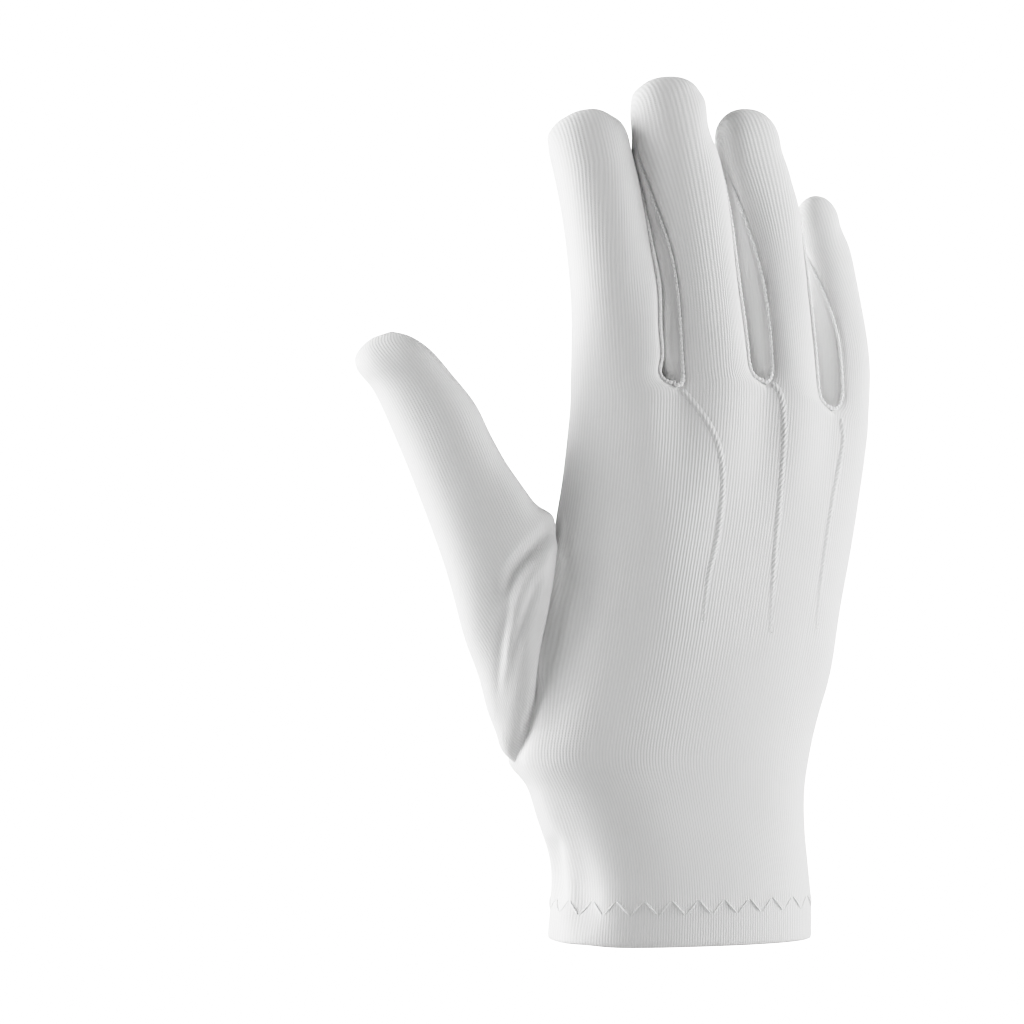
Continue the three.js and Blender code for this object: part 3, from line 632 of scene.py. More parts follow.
# The forefinger's side is rounder than the solids, and the knuckles and the ring finger are fuller.
HAND_PUSHES = [
    (558, 522, 20, 40, -1.5),
    (556, 300, 40, 110, 2.2),
    (545, 885, 40, 70, 2.5),
    (668, 510, 66, 130, -3.5),
]
RING_PUSHES = [(732, 190, 20, 90, -2.2)]
place = pushed_in_picture(place, HAND_PUSHES)
pushed = mix(place, pushed_in_picture(place, RING_PUSHES), root_fade)
place = np.where((on_finger == 2)[:, None], pushed, place)


def soft_line(points, step=1.5):
    """A smooth line through a few points, with a point about every step."""
    points = np.array(points, float)
    at = travelled_along(points)
    names = "at " + " ".join("xyz"[: points.shape[1]])
    curve = smooth_table(names, np.column_stack([at, points]))
    where = np.linspace(0, at[-1], max(2, int(at[-1] / step) + 1))
    found = curve(where)
    return np.stack([found[key] for key in "xyz"[: points.shape[1]]], -1)


def fold_heights(flat, folds):
    """Sums folds drawn in the picture: each has its height, its half-width and the line of its crest."""
    total = np.zeros(len(flat))
    for height, half_width, crest in folds:
        line = soft_line(crest)
        reach = 3 * half_width
        near = np.all((flat > line.min(0) - reach) & (flat < line.max(0) + reach), axis=1)
        index = np.nonzero(near)[0]
        if not len(index):
            continue
        start, step = line[:-1], np.diff(line, axis=0)
        away = flat[index][:, None] - start[None]
        share = np.clip(np.sum(away * step, -1) / np.sum(step * step, -1), 0, 1)
        distance = np.linalg.norm(away - share[..., None] * step, axis=-1)
        nearest = np.argmin(distance, 1)
        along = (nearest + share[np.arange(len(index)), nearest]) / len(step)
        taper = np.sin(math.pi * np.clip(along, 0.02, 0.98)) ** 0.6
        total[index] += height * taper * np.exp(-((distance.min(1) / half_width) ** 2))
    return total


def folded(points, faces, folds):
    """Raises or presses the camera's side along some lines: height, half-width, and pixels on the crest."""
    facing = outward_normals(points, faces)
    towards_camera = smoothstep(-(facing @ look), 0.0, 0.35)
    drawn = [(height, wide, [picture(*pixel) for pixel in crest]) for height, wide, crest in folds]
    return points + facing * (fold_heights(in_picture(points), drawn) * towards_camera)[:, None]


BACK_FOLDS = [
    (-2.3, 1.7, [(554, 840), (556, 868), (560, 902)]),
    (-0.5, 2.0, [(577, 880), (580, 900), (584, 918)]),
    (-0.35, 2.2, [(590, 890), (593, 905), (596, 920)]),
    (-1.0, 2.4, [(553, 565), (552, 600), (545, 655), (537, 700)]),
    (0.5, 4.0, [(580, 560), (574, 620), (562, 690)]),
    (0.35, 1.1, [(717, 134), (725, 124), (735, 118)]),
    (-0.3, 1.0, [(717, 140), (727, 132), (738, 124)]),
]
place = folded(place, quads, BACK_FOLDS)

# The cuff's edge is folded inwards in a narrow roll.
ROLL = 1.0
normal = outward_normals(place, quads)
level_normal = unit(normal * np.array([1.0, 1.0, 0.0]))
into_roll = np.clip(ROLL - first_height, 0, ROLL)
place = place - level_normal * (ROLL - np.sqrt(ROLL**2 - into_roll**2))[:, None]

# The cloth is drawn in beside every seam between the hand piece and a fork, and the fork's edge stands up in
# a lip. The side seam runs from the cuff's palm side up to the little finger's outer side and on to its tip.
SEAM_DEPTH = 0.6
SEAM_SPREAD = 1.2
LIP_HEIGHT = 0.4
LIP_SPREAD = 0.7
LIP_INSET = 0.9
is_fork_face = face_pieces != "hand_piece"
in_fork = np.zeros(len(place), bool)
in_fork[np.unique(quads[is_fork_face])] = True
in_hand = np.zeros(len(place), bool)
in_hand[np.unique(quads[~is_fork_face])] = True
on_seam = in_fork & in_hand


def distance_to(points, targets):
    tree = KDTree(len(targets))
    for i, target in enumerate(targets):
        tree.insert(target, i)
    tree.balance()
    return np.array([tree.find(point)[2] for point in points])


def tree_of(points, faces):
    return BVHTree.FromPolygons([tuple(p) for p in points], [tuple(dict.fromkeys(f)) for f in faces.tolist()])


def as_arrays(found):
    """Places found on a surface, and the directions that it faces there."""
    return tuple(np.array([list(pair[part]) for pair in found]) for part in (0, 1))


def on_surface(points, tree, reach=30.0):
    """The nearest places on a surface, and the directions that it faces there."""
    return as_arrays([tree.find_nearest(Vector(point), reach)[:2] for point in points])


BELOW_FORKS = 135
FAR = 99.0
FORK_PUSHES = [(666, 372, 18, 60, -2), (660, 250, 16, 80, -1.2)]
above_hand = place[:, 2] > BELOW_FORKS
to_seam = np.full(len(place), FAR)
to_seam[above_hand] = distance_to(place[above_hand], place[on_seam])
inside_fork = np.where(in_fork, smoothstep(to_seam, 0, 3), 0)[:, None]
place = mix(place, pushed_in_picture(place, FORK_PUSHES), inside_fork)
normal = outward_normals(place, quads)
seam_form = -SEAM_DEPTH * np.exp(-((to_seam / SEAM_SPREAD) ** 2))
lip = LIP_HEIGHT * np.exp(-(((to_seam - LIP_INSET) / LIP_SPREAD) ** 2))
seam_form += np.where(in_fork & ~in_hand, lip, 0)

SIDE_SEAM_DEPTH = 0.45
SIDE_SEAM_SPREAD = 0.9
SIDE_SEAM_STEP = 0.7
LITTLE_POINTS = 110
side_seam_row = smooth_table("height angle", [(0, 53), (45, 30), (70, 18), (93, 8), (107, 0), (150, 0)])
side_heights = np.arange(1, 148, SIDE_SEAM_STEP)
side_seam = hand_point(side_heights / PALM_LENGTH, np.radians(side_seam_row(side_heights)["angle"]))
little_rows = np.linspace(0.02, 0.995, LITTLE_POINTS)
little_side = drawn_to_hand(3, little_rows, np.zeros(LITTLE_POINTS), hand_point(1.0, 0.0)[None])
side_seam = on_surface(np.vstack([side_seam, little_side]), tree_of(place, quads))[0]
to_side_seam = distance_to(place, side_seam)
seam_form -= SIDE_SEAM_DEPTH * np.exp(-((to_side_seam / SIDE_SEAM_SPREAD) ** 2))
place = place + normal * seam_form[:, None]
normal = outward_normals(place, quads)

# Thumb
# A tube of the same knit, set into a hole at the forefinger's side. Its seam runs round its foot, over the
# back beside the first knuckle, and the cloth gathers into a wrinkled wedge along it.
THUMB_LENGTH = 121
THUMB_SPREAD = 44.5
THUMB_THICKNESS = 23
THUMB_TURN = math.radians(22)
THUMB_FOOT = 0.322
THUMB_OUTSET = 2
THUMB_ROWS = 130
THUMB_COLUMNS = 46
thumb_row = smooth_table(
    "at outSide outUp inSide inUp thick behind",
    [
        (0.0, -0.135, 0.006, -0.27, 0.41, 0.38, 0.1),
        (0.08, -0.004, 0.0, -0.28, 0.469, 0.56, 0.1),
        (0.16, 0.09, 0.088, -0.29, 0.522, 0.73, 0.1),
        (0.26, 0.198, 0.217, -0.26, 0.572, 0.87, 0.1),
        (0.38, 0.333, 0.349, -0.135, 0.613, 0.98, 0.1),
        (0.5, 0.449, 0.485, 0.007, 0.688, 1.03, 0.11),
        (0.62, 0.584, 0.62, 0.108, 0.758, 1.02, 0.13),
        (0.74, 0.737, 0.754, 0.213, 0.836, 1.0, 0.17),
        (0.84, 0.876, 0.861, 0.355, 0.898, 0.93, 0.2),
        (0.92, 0.993, 0.919, 0.528, 0.963, 0.78, 0.22),
        (0.97, 0.989, 0.956, 0.663, 0.992, 0.48, 0.24),
        (1.0, 0.888, 0.985, 0.764, 1.0, 0.14, 0.24),
    ],
)
foot = hand_point(THUMB_FOOT, math.pi)
turned_out = np.array([-math.cos(THUMB_TURN), math.sin(THUMB_TURN), 0.0])
turned_behind = np.array([math.sin(THUMB_TURN), math.cos(THUMB_TURN), 0.0])


def thumb_place(side, up, behind):
    base = np.array([foot[0] - THUMB_OUTSET, foot[1], THUMB_FOOT * PALM_LENGTH])
    upwards = up[..., None] * np.array([0, 0, 1.0])
    return base + side[..., None] * turned_out + behind[..., None] * turned_behind + upwards


thumb_at = np.linspace(0, 1, THUMB_ROWS + 1) ** 0.97
row = thumb_row(thumb_at)
behind = row["behind"] * THUMB_THICKNESS
outer = thumb_place(row["outSide"] * THUMB_SPREAD, row["outUp"] * THUMB_LENGTH, behind)
inner = thumb_place(row["inSide"] * THUMB_SPREAD, row["inUp"] * THUMB_LENGTH, behind)
half_width = np.linalg.norm(outer - inner, axis=1) / 2
across_thumb = unit(inner - outer)

# The palm's half and the back's half each have ribs of their own, which run along the middle of the thumb.
half_depth = row["thick"] * THUMB_THICKNESS / 2
thumb_grids, thumb_knits = [], []
for side_angle in (0, math.pi):
    angles = np.linspace(side_angle, side_angle + math.pi, THUMB_COLUMNS + 1)
    grid = (
        ((outer + inner) / 2)[:, None]
        + across_thumb[:, None] * (half_width[:, None] * squared(np.cos(angles))[None])[..., None]
        + turned_behind * (half_depth[:, None] * squared(np.sin(angles))[None])[..., None]
    )
    arcs = np.cumsum(np.linalg.norm(np.diff(grid, axis=1, prepend=grid[:, :1]), axis=-1), axis=1)
    arcs = arcs - arcs[:, THUMB_COLUMNS // 2][:, None]
    thumb_grids.append(grid.reshape(-1, 3))
    lengthwise = (thumb_at * THUMB_LENGTH)[:, None]
    thumb_knits.append(paired(arcs, lengthwise).reshape(-1, 2))
halves = (0, len(thumb_grids[0]))
thumb_raw_faces = np.vstack([grid_faces(THUMB_ROWS + 1, THUMB_COLUMNS + 1, start) for start in halves])
thumb_raw_points = np.vstack(thumb_grids)
first_of, join = welded(thumb_raw_points)
thumb_points, thumb_quads = thumb_raw_points[first_of], join[thumb_raw_faces]

# The thumb's outline, the crease across its web, and the soft folds that gather in a wedge beside its seam.
THUMB_MOVES = [
    (480, 420, 56, 120, -4.5, 1),
    (356, 352, 10, 10, 2.5, 0),
    (540, 501, 16, 14, 0, 2),
    (476, 645, 26, 42, -5, 0),
    (500, 710, 34, 40, -6, 0),
    (509, 752, 14, 16, -4, -3),
    (552, 645, 24, 64, -12, 0),
]
THUMB_FOLDS = [
    (-2.4, 2.4, [(562, 521), (545, 538), (528, 555), (514, 573), (507, 596)]),
    (1.1, 2.4, [(558, 538), (545, 556), (531, 573), (519, 592), (512, 612)]),
    (2.4, 4.4, [(551, 556), (541, 605), (530, 650), (523, 695), (515, 740)]),
    (0.6, 1.3, [(519, 587), (508, 640), (503, 686)]),
    (-0.7, 1.4, [(537, 580), (522, 620), (513, 658)]),
    (0.5, 1.2, [(528, 588), (516, 628), (509, 668)]),
    (-0.4, 1.2, [(510, 600), (502, 648), (498, 695)]),
]
THUMB_PUSHES = [(528, 490, 26, 26, -2)]
thumb_points = pushed_in_picture(moved_in_picture(thumb_points, THUMB_MOVES), THUMB_PUSHES)
thumb_points = folded(thumb_points, thumb_quads, THUMB_FOLDS)


def signed_distance(points, tree, reach):
    """How far each point lies outside a surface, up to reach. Points inside get values below 0."""
    found = np.full(len(points), reach)
    for i, point in enumerate(points):
        near, facing, _, _ = tree.find_nearest(Vector(point), reach)
        if near is not None:
            away = Vector(point) - near
            found[i] = math.copysign(away.length, away.dot(facing))
    return found


# The foot of the thumb is trimmed where the two surfaces meet, and both are drawn in along the seam.
THUMB_SEAM_DEPTH = 0.7
THUMB_SEAM_SPREAD = 1.7
HIDDEN = -1.6
REACH = 25.0
THUMB_MARGIN = 6
thumb_normal = outward_normals(thumb_points, thumb_quads)
thumb_tree = tree_of(thumb_points, thumb_quads)
skin_tree = tree_of(place, quads)
above_low = place > thumb_points.min(0) - THUMB_MARGIN
below_high = place < thumb_points.max(0) + THUMB_MARGIN
beside_thumb = np.nonzero(np.all(above_low & below_high, axis=1))[0]
hand_to_thumb = np.full(len(place), REACH)
hand_to_thumb[beside_thumb] = signed_distance(place[beside_thumb], thumb_tree, REACH)
thumb_to_hand = signed_distance(thumb_points, skin_tree, REACH)


def drawn_in(points, normals, away, depth, spread):
    return points - normals * (depth * np.exp(-((away / spread) ** 2)))[:, None]


place = drawn_in(place, normal, hand_to_thumb, THUMB_SEAM_DEPTH, THUMB_SEAM_SPREAD)
thumb_points = drawn_in(thumb_points, thumb_normal, thumb_to_hand, THUMB_SEAM_DEPTH, THUMB_SEAM_SPREAD)
normal = outward_normals(place, quads)
thumb_normal = outward_normals(thumb_points, thumb_quads)

# Cloth of the hand piece, the forks and the thumb
# A plain white stretch knit. Fine ribs 0.9 mm apart run the length of the hand and of each finger, and each
# rib is a column of small V-shaped stitches. The grooves between the ribs are painted a little darker, as
# painted shade. The forks show its smooth side.
KNIT_MAP = 400.0
RIB = 0.9
COURSE = 0.7


def knit_group():
    """Ribs and stitches from a place on the knit in millimetres: their relief, and how far into a groove it
    lies, which weights the painted shade in the grooves.
    """
    group = bpy.data.node_groups.new("knit ribs", "ShaderNodeTree")
    sockets = group.interface
    values = (("Across", 0.0), ("Along", 0.0), ("Rib", RIB), ("Course", COURSE), ("Unevenness", 0.18))
    for name, value in values:
        socket = sockets.new_socket(name, in_out="INPUT", socket_type="NodeSocketFloat")
        socket.default_value = value
    sockets.new_socket("Place", in_out="INPUT", socket_type="NodeSocketVector")
    sockets.new_socket("Relief", in_out="OUTPUT", socket_type="NodeSocketFloat")
    sockets.new_socket("Painted groove shade", in_out="OUTPUT", socket_type="NodeSocketFloat")
    nodes, links = group.nodes, group.links
    entry, leave = nodes.new("NodeGroupInput"), nodes.new("NodeGroupOutput")

    def calculate(operation, one, other=None, third=None):
        node = nodes.new("ShaderNodeMath")
        node.operation = operation
        for i, value in enumerate((one, other, third)):
            if value is None:
                continue
            if isinstance(value, (int, float)):
                node.inputs[i].default_value = value
            else:
                links.new(value, node.inputs[i])
        return node.outputs[0]

    def noise(scale, detail):
        node = nodes.new("ShaderNodeTexNoise")
        node.inputs["Scale"].default_value = scale
        node.inputs["Detail"].default_value = detail
        links.new(entry.outputs["Place"], node.inputs["Vector"])
        return calculate("SUBTRACT", node.outputs["Fac"], 0.5)

    wander = calculate("MULTIPLY", noise(260, 2), entry.outputs["Unevenness"])
    rib = calculate("ADD", calculate("DIVIDE", entry.outputs["Across"], entry.outputs["Rib"]), wander)
    round_rib = calculate("MULTIPLY", calculate("COSINE", calculate("MULTIPLY", rib, 2 * math.pi)), 0.5)
    in_rib = calculate("PINGPONG", rib, 0.5)
    course = calculate("DIVIDE", entry.outputs["Along"], entry.outputs["Course"])
    slanted = calculate("ADD", course, calculate("MULTIPLY", in_rib, 1.4))
    stitch = calculate("MULTIPLY", calculate("SINE", calculate("MULTIPLY", slanted, 2 * math.pi)), 0.13)
    fuzz = calculate("MULTIPLY", noise(1500, 3), 0.5)
    links.new(calculate("ADD", calculate("ADD", round_rib, stitch), fuzz), leave.inputs["Relief"])
    # How far into a groove each place lies: it weights the painted shade in the grooves.
    links.new(calculate("SUBTRACT", 0.5, round_rib), leave.inputs["Painted groove shade"])
    return group


ribs = knit_group()


def knit_material(name, colour, painted_groove_shade, relief, sheen=0.25):
    material = bpy.data.materials.new(name)
    material.use_nodes = True
    nodes, links = material.node_tree.nodes, material.node_tree.links
    shader = nodes["Principled BSDF"]
    settings = {
        "Roughness": 0.85,
        "Specular IOR Level": 0.2,
        "Sheen Weight": sheen,
        "Sheen Roughness": 0.5,
        "Subsurface Weight": 0.4,
        "Subsurface Radius": (1.0, 1.0, 1.0),
        "Subsurface Scale": 0.0012,
    }
    for socket, value in settings.items():
        shader.inputs[socket].default_value = value
    where = nodes.new("ShaderNodeUVMap")
    where.uv_map = "Knit"
    scaled = nodes.new("ShaderNodeVectorMath")
    scaled.operation = "SCALE"
    scaled.inputs["Scale"].default_value = KNIT_MAP
    links.new(where.outputs["UV"], scaled.inputs[0])
    apart = nodes.new("ShaderNodeSeparateXYZ")
    links.new(scaled.outputs[0], apart.inputs[0])
    body = nodes.new("ShaderNodeTexCoord")
    knit = nodes.new("ShaderNodeGroup")
    knit.node_tree = ribs
    knit.inputs["Rib"].default_value = RIB
    knit.inputs["Course"].default_value = COURSE
    links.new(apart.outputs["X"], knit.inputs["Across"])
    links.new(apart.outputs["Y"], knit.inputs["Along"])
    links.new(body.outputs["Object"], knit.inputs["Place"])
    # The rib grooves get a darker base colour. This is painted shade, not a colour of the yarn.
    painted_groove_mix = nodes.new("ShaderNodeMix")
    painted_groove_mix.data_type = "RGBA"
    painted_groove_mix.inputs["A"].default_value = (*colour, 1)
    painted_groove_mix.inputs["B"].default_value = (*painted_groove_shade, 1)
    links.new(knit.outputs["Painted groove shade"], painted_groove_mix.inputs["Factor"])
    links.new(painted_groove_mix.outputs["Result"], shader.inputs["Base Color"])
    bump = nodes.new("ShaderNodeBump")
    bump.inputs["Strength"].default_value = 1.0
    bump.inputs["Distance"].default_value = relief / 1000
    links.new(knit.outputs["Relief"], bump.inputs["Height"])
    links.new(bump.outputs["Normal"], shader.inputs["Normal"])
    return material


WHITE = (0.93, 0.93, 0.925)
# Each knit's second colour is the painted shade in its rib grooves.
white_knit = knit_material("white stretch knit", WHITE, (0.82, 0.82, 0.815), 0.058)
smooth_knit = knit_material("white knit, smooth side", WHITE, (0.9, 0.9, 0.895), 0.03)


def added_piece(name, mesh, material):
    mesh.materials.append(material)
    piece = bpy.data.objects.new(name, mesh)
    scene.collection.objects.link(piece)
    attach(piece, "root")
    return piece


def cloth_piece(name, points, normals, faces, raw_faces, knit_at, material, thick=CLOTH):
    """A sheet of cloth: its outer surface, the same surface further in, and a strip along every open edge."""
    used, local = np.unique(faces, return_inverse=True)
    local = local.reshape(faces.shape)
    count = len(used)
    vertices = np.vstack([points[used], points[used] - normals[used] * thick])
    rings, knits, edges = [], [], {}
    for corners, raw in zip(local.tolist(), raw_faces.tolist()):
        kept = [i for i in range(4) if corners[i] != corners[i - 1]]
        if len(kept) < 3:
            continue
        ring = [corners[i] for i in kept]
        own = [raw[i] for i in kept]
        rings.append(ring)
        knits.append(own)
        for i in range(len(ring)):
            j = (i + 1) % len(ring)
            edges[ring[i], ring[j]] = (own[i], own[j])
    inside = [[i + count for i in reversed(ring)] for ring in rings]
    inside_knits = [own[::-1] for own in knits]
    rims, rim_knits = [], []
    for (a, b), (raw_a, raw_b) in edges.items():
        if (b, a) not in edges:
            rims.append([b, a, a + count, b + count])
            rim_knits.append([raw_b, raw_a, raw_a, raw_b])
    mesh = bpy.data.meshes.new(name)
    mesh.from_pydata((vertices / 1000).tolist(), [], rings + inside + rims)
    layer = mesh.uv_layers.new(name="Knit")
    order = np.concatenate([np.array(own) for own in knits + inside_knits + rim_knits])
    layer.data.foreach_set("uv", (knit_at[order] / KNIT_MAP).astype(np.float32).ravel())
    mesh.validate()
    mesh.shade_smooth()
    mesh.set_sharp_from_angle(angle=math.radians(60))
    return added_piece(name, mesh, material)


outside_thumb = hand_to_thumb[quads].max(1) > HIDDEN
own_faces = (face_pieces == "hand_piece") & outside_thumb
hand = cloth_piece("hand_cloth", place, normal, quads[own_faces], raw_faces[own_faces], raw_knit, white_knit)
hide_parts("hand_piece")
for name in FORKS:
    own = face_pieces == name
    fork = cloth_piece(name + "_cloth", place, normal, quads[own], raw_faces[own], raw_knit, smooth_knit)
    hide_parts(name)
outside_hand = thumb_to_hand[thumb_quads].max(1) > HIDDEN
thumb = cloth_piece(
    "thumb_cloth",
    thumb_points,
    thumb_normal,
    thumb_quads[outside_hand],
    thumb_raw_faces[outside_hand],
    np.vstack(thumb_knits),
    white_knit,
)
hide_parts("thumb")

# Hem
# The cuff's edge is turned up inside in one fold, 11 mm high, and held by a zigzag stitch through both
# layers. The thread lies on top of the knit, and every other leg of it is pulled tighter.
HEM_HEIGHT = 11.0
ZIGZAG = 7.8
ZIGZAG_LOW, ZIGZAG_HIGH = 8.9, 13.2
ZIGZAG_START = -2.3
strip_grids = [grid[: len(hand_levels)] for grid in skin_grids[: len(STRIPS)]]
ring_columns = np.concatenate([grid[:, :-1] for grid in strip_grids] + [strip_grids[0][:, :1]], axis=1)


def cuff_ring(level):
    """The ring of the cuff's outer surface at one row, and which way it faces."""
    at = weld[ring_columns[level]]
    return place[at], unit(normal[at] * np.array([1.0, 1.0, 0.0]))


hem_rows, hem_knit = [], []
top_level = int(np.searchsorted(hand_levels * PALM_LENGTH, HEM_HEIGHT)) - 1
for level in range(top_level, len(SHORT_ROWS) - 1, -1):
    ring_place, ring_facing = cuff_ring(level)
    hem_rows.append(ring_place - ring_facing * 2 * ROLL)
    hem_knit.append(-hand_levels[level] * PALM_LENGTH)
for turn in np.radians([25, 50, 70, 90]):
    drop = np.array([0, 0, ROLL * math.sin(turn)])
    hem_rows.append(ring_place - ring_facing * ROLL * (1 + math.cos(turn)) - drop)
    hem_knit.append(-ROLL * (1 - turn))
hem_grid = np.array(hem_rows)
hem_raw_faces = grid_faces(*hem_grid.shape[:2])
first_of, join = welded(hem_grid.reshape(-1, 3))
hem_points, hem_quads = hem_grid.reshape(-1, 3)[first_of], join[hem_raw_faces]
hem_wales = raw_knit[ring_columns[0], 0]
hem_knit = paired(hem_wales[None], np.array(hem_knit)[:, None]).reshape(-1, 2)
hem_normal = outward_normals(hem_points, hem_quads)
hem = cloth_piece("hem_cloth", hem_points, hem_normal, hem_quads, hem_raw_faces, hem_knit, white_knit)
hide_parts("cuff_hem")

# The thread's darker colour is painted shade in the grooves of the knit pattern.
thread_white, thread_painted_groove_shade = (0.96, 0.96, 0.955), (0.92, 0.92, 0.915)
thread_material = knit_material("white sewing thread", thread_white, thread_painted_groove_shade, 0.02, sheen=0.1)
THREAD_TAPER = 0.45


def thread_piece(name, lines, facings, radius, sides=6):
    """Many short threads as one mesh. Each is a closed tube along its line, which lies on the cloth."""
    vertices, faces = [], []
    turns = np.linspace(0, 2 * math.pi, sides, endpoint=False)
    for line, facing in zip(lines, facings):
        along = unit(np.gradient(line, axis=0))
        sideways = unit(np.cross(along, facing))
        upwards = np.cross(sideways, along)
        first, count = len(vertices), len(line)
        for i in range(count):
            thin = radius * (THREAD_TAPER if i in (0, count - 1) else 1.0)
            ring = (math.cos(turn) * sideways[i] + math.sin(turn) * upwards[i] for turn in turns)
            vertices.extend(line[i] + thin * spoke for spoke in ring)
        for i in range(count - 1):
            low, high = first + i * sides, first + (i + 1) * sides
            for j in range(sides):
                k = (j + 1) % sides
                faces.append([low + j, high + j, high + k, low + k])
        faces.append([first + j for j in range(sides)])
        faces.append([first + (count - 1) * sides + j for j in reversed(range(sides))])
    mesh = bpy.data.meshes.new(name)
    mesh.from_pydata((np.array(vertices) / 1000).tolist(), [], faces)
    mesh.shade_smooth()
    return added_piece(name, mesh, thread_material)


def laid_on_cloth(line, lift, sunk, tree):
    """A thread's line laid on the cloth: its ends go down into it and its middle lies on top."""
    near, facing = on_surface(line, tree)
    arch = np.sin(np.linspace(0, math.pi, len(line)))
    return near + facing * (mix(-sunk, lift, arch))[:, None], facing


ZIGZAG_RING = 6
LEG_POINTS = 8
LOOSE_LIFT, TIGHT_LIFT = 0.24, 0.0
THREAD_SUNK = 0.2
THREAD_RADIUS = 0.22
skin_tree = tree_of(place, quads)
middle_ring = cuff_ring(len(SHORT_ROWS) + ZIGZAG_RING)[0]
ring_length = travelled_along(middle_ring)
whole_ring = ring_length[-1]
legs = 2 * round(whole_ring / ZIGZAG)
lines, facings = [], []
for i in range(legs):
    ends = (ZIGZAG_START + np.array([i, i + 1]) * whole_ring / legs) % whole_ring
    if ends[1] < ends[0]:
        ends[1] += whole_ring
    where = np.linspace(ends[0], ends[1], LEG_POINTS) % whole_ring
    flat = np.stack([np.interp(where, ring_length, middle_ring[:, axis]) for axis in range(2)], -1)
    heights = np.linspace(ZIGZAG_LOW, ZIGZAG_HIGH, LEG_POINTS)
    if i % 2:
        heights = np.linspace(ZIGZAG_HIGH, ZIGZAG_LOW, LEG_POINTS)
    lift = LOOSE_LIFT if i % 2 else TIGHT_LIFT
    line, facing = laid_on_cloth(np.column_stack([flat, heights]), lift, THREAD_SUNK, skin_tree)
    lines.append(line)
    facings.append(facing)
thread_piece("zigzag_thread", lines, facings, THREAD_RADIUS)

# Raised seams
# Three narrow tucks on the back run on from the gaps between the fingers. Each is a pinched ridge of cloth,
# oversewn with slanting stitches that pull it into small scallops.
RAISED_SEAM_WIDTH = 2.5
RAISED_SEAM_HEIGHT = 0.47
RAISED_SEAM_SUNK = 0.12
RAISED_SEAM_COLUMNS = 15
RAISED_SEAM_STEP = 0.6
TUCK_THICKNESS = 0.3
SCALLOP = 1.6
SCALLOP_SLANT = 0.9
SCALLOP_LOW = 0.45
RAISED_SEAMS = {
    "raised_seam_index": [
        (679, 387), (698, 409), (712, 430), (720, 451), (723, 484),
        (721, 512), (717, 540), (708, 580), (704, 622),
    ],
    "raised_seam_middle": [
        (769, 381), (779, 392), (784, 425), (782, 470), (777, 530), (773, 580), (770, 632),
    ],
    "raised_seam_ring": [(840, 415), (843, 438), (839, 466), (833, 497), (823, 563), (816, 628)],
}
eye = Vector(-look * CAMERA_DISTANCE) + Vector((0, 0, CAMERA_HEIGHT))


def seen_at(pixels, tree):
    """The places of a surface that show at some pixels, and the directions that it faces there."""
    found = []
    for pixel in pixels:
        across, up = picture(*pixel)
        aim = Vector(across_view * across) + Vector((0, 0, up))
        found.append(tree.ray_cast(eye, aim - eye)[:2])
    return as_arrays(found)


for name, pixels in RAISED_SEAMS.items():
    middle_line, facing = seen_at(soft_line(pixels, RAISED_SEAM_STEP), skin_tree)
    travelled = travelled_along(middle_line)
    sideways = unit(np.cross(facing, unit(np.gradient(middle_line, axis=0))))
    offsets = np.linspace(-0.5, 0.5, RAISED_SEAM_COLUMNS) * RAISED_SEAM_WIDTH
    flat = middle_line[:, None] + sideways[:, None] * offsets[None, :, None]
    near, facing = on_surface(flat.reshape(-1, 3), skin_tree)
    share = 2 * offsets[None] / RAISED_SEAM_WIDTH
    ridge = np.cos(share * math.pi / 2) ** 1.2
    stitch = math.pi * (travelled[:, None] / SCALLOP + SCALLOP_SLANT * share)
    scallop = SCALLOP_LOW + (1 - SCALLOP_LOW) * np.abs(np.cos(stitch)) ** 0.8
    ends = smoothstep(travelled, 0, 2) * (1 - 0.6 * smoothstep(travelled / travelled[-1], 0.7, 1))
    height = RAISED_SEAM_HEIGHT * ridge * scallop * ends[:, None] - RAISED_SEAM_SUNK
    seam_raw = near + facing * height.reshape(-1)[:, None]
    seam_faces = grid_faces(len(middle_line), len(offsets))
    seam_normal = outward_normals(seam_raw, seam_faces)
    if np.sum(seam_normal * facing) < 0:
        seam_faces = seam_faces[:, ::-1]
        seam_normal = -seam_normal
    seam_knit = paired(offsets[None], travelled[:, None]).reshape(-1, 2)
    seam = cloth_piece(
        name + "_cloth",
        seam_raw,
        seam_normal,
        seam_faces,
        seam_faces,
        seam_knit,
        smooth_knit,
        thick=TUCK_THICKNESS,
    )
    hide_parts(name)

# Overcast edges
# The forks are sewn in with short stitches over the edge, about 1.35 mm apart. They roll the edge into a
# scalloped cord of thread and cloth, which is thickest round the foot of each gap.
OVERCAST = 1.35
CORD_RADIUS = 0.42
CORD_FOOT = 0.3
CORD_LIFT = 0.4
CORD_INSET = 0.45
CORD_SIDES = 8
CORD_START = 3
CORD_STEP = OVERCAST / 6
CORD_LOW = 0.72
FOOT_REACH = 5
CORD_TAPER = 4


def read_along(where, travelled, points):
    """Points at some distances along a line."""
    return np.stack([np.interp(where, travelled, points[:, axis]) for axis in range(3)], -1)


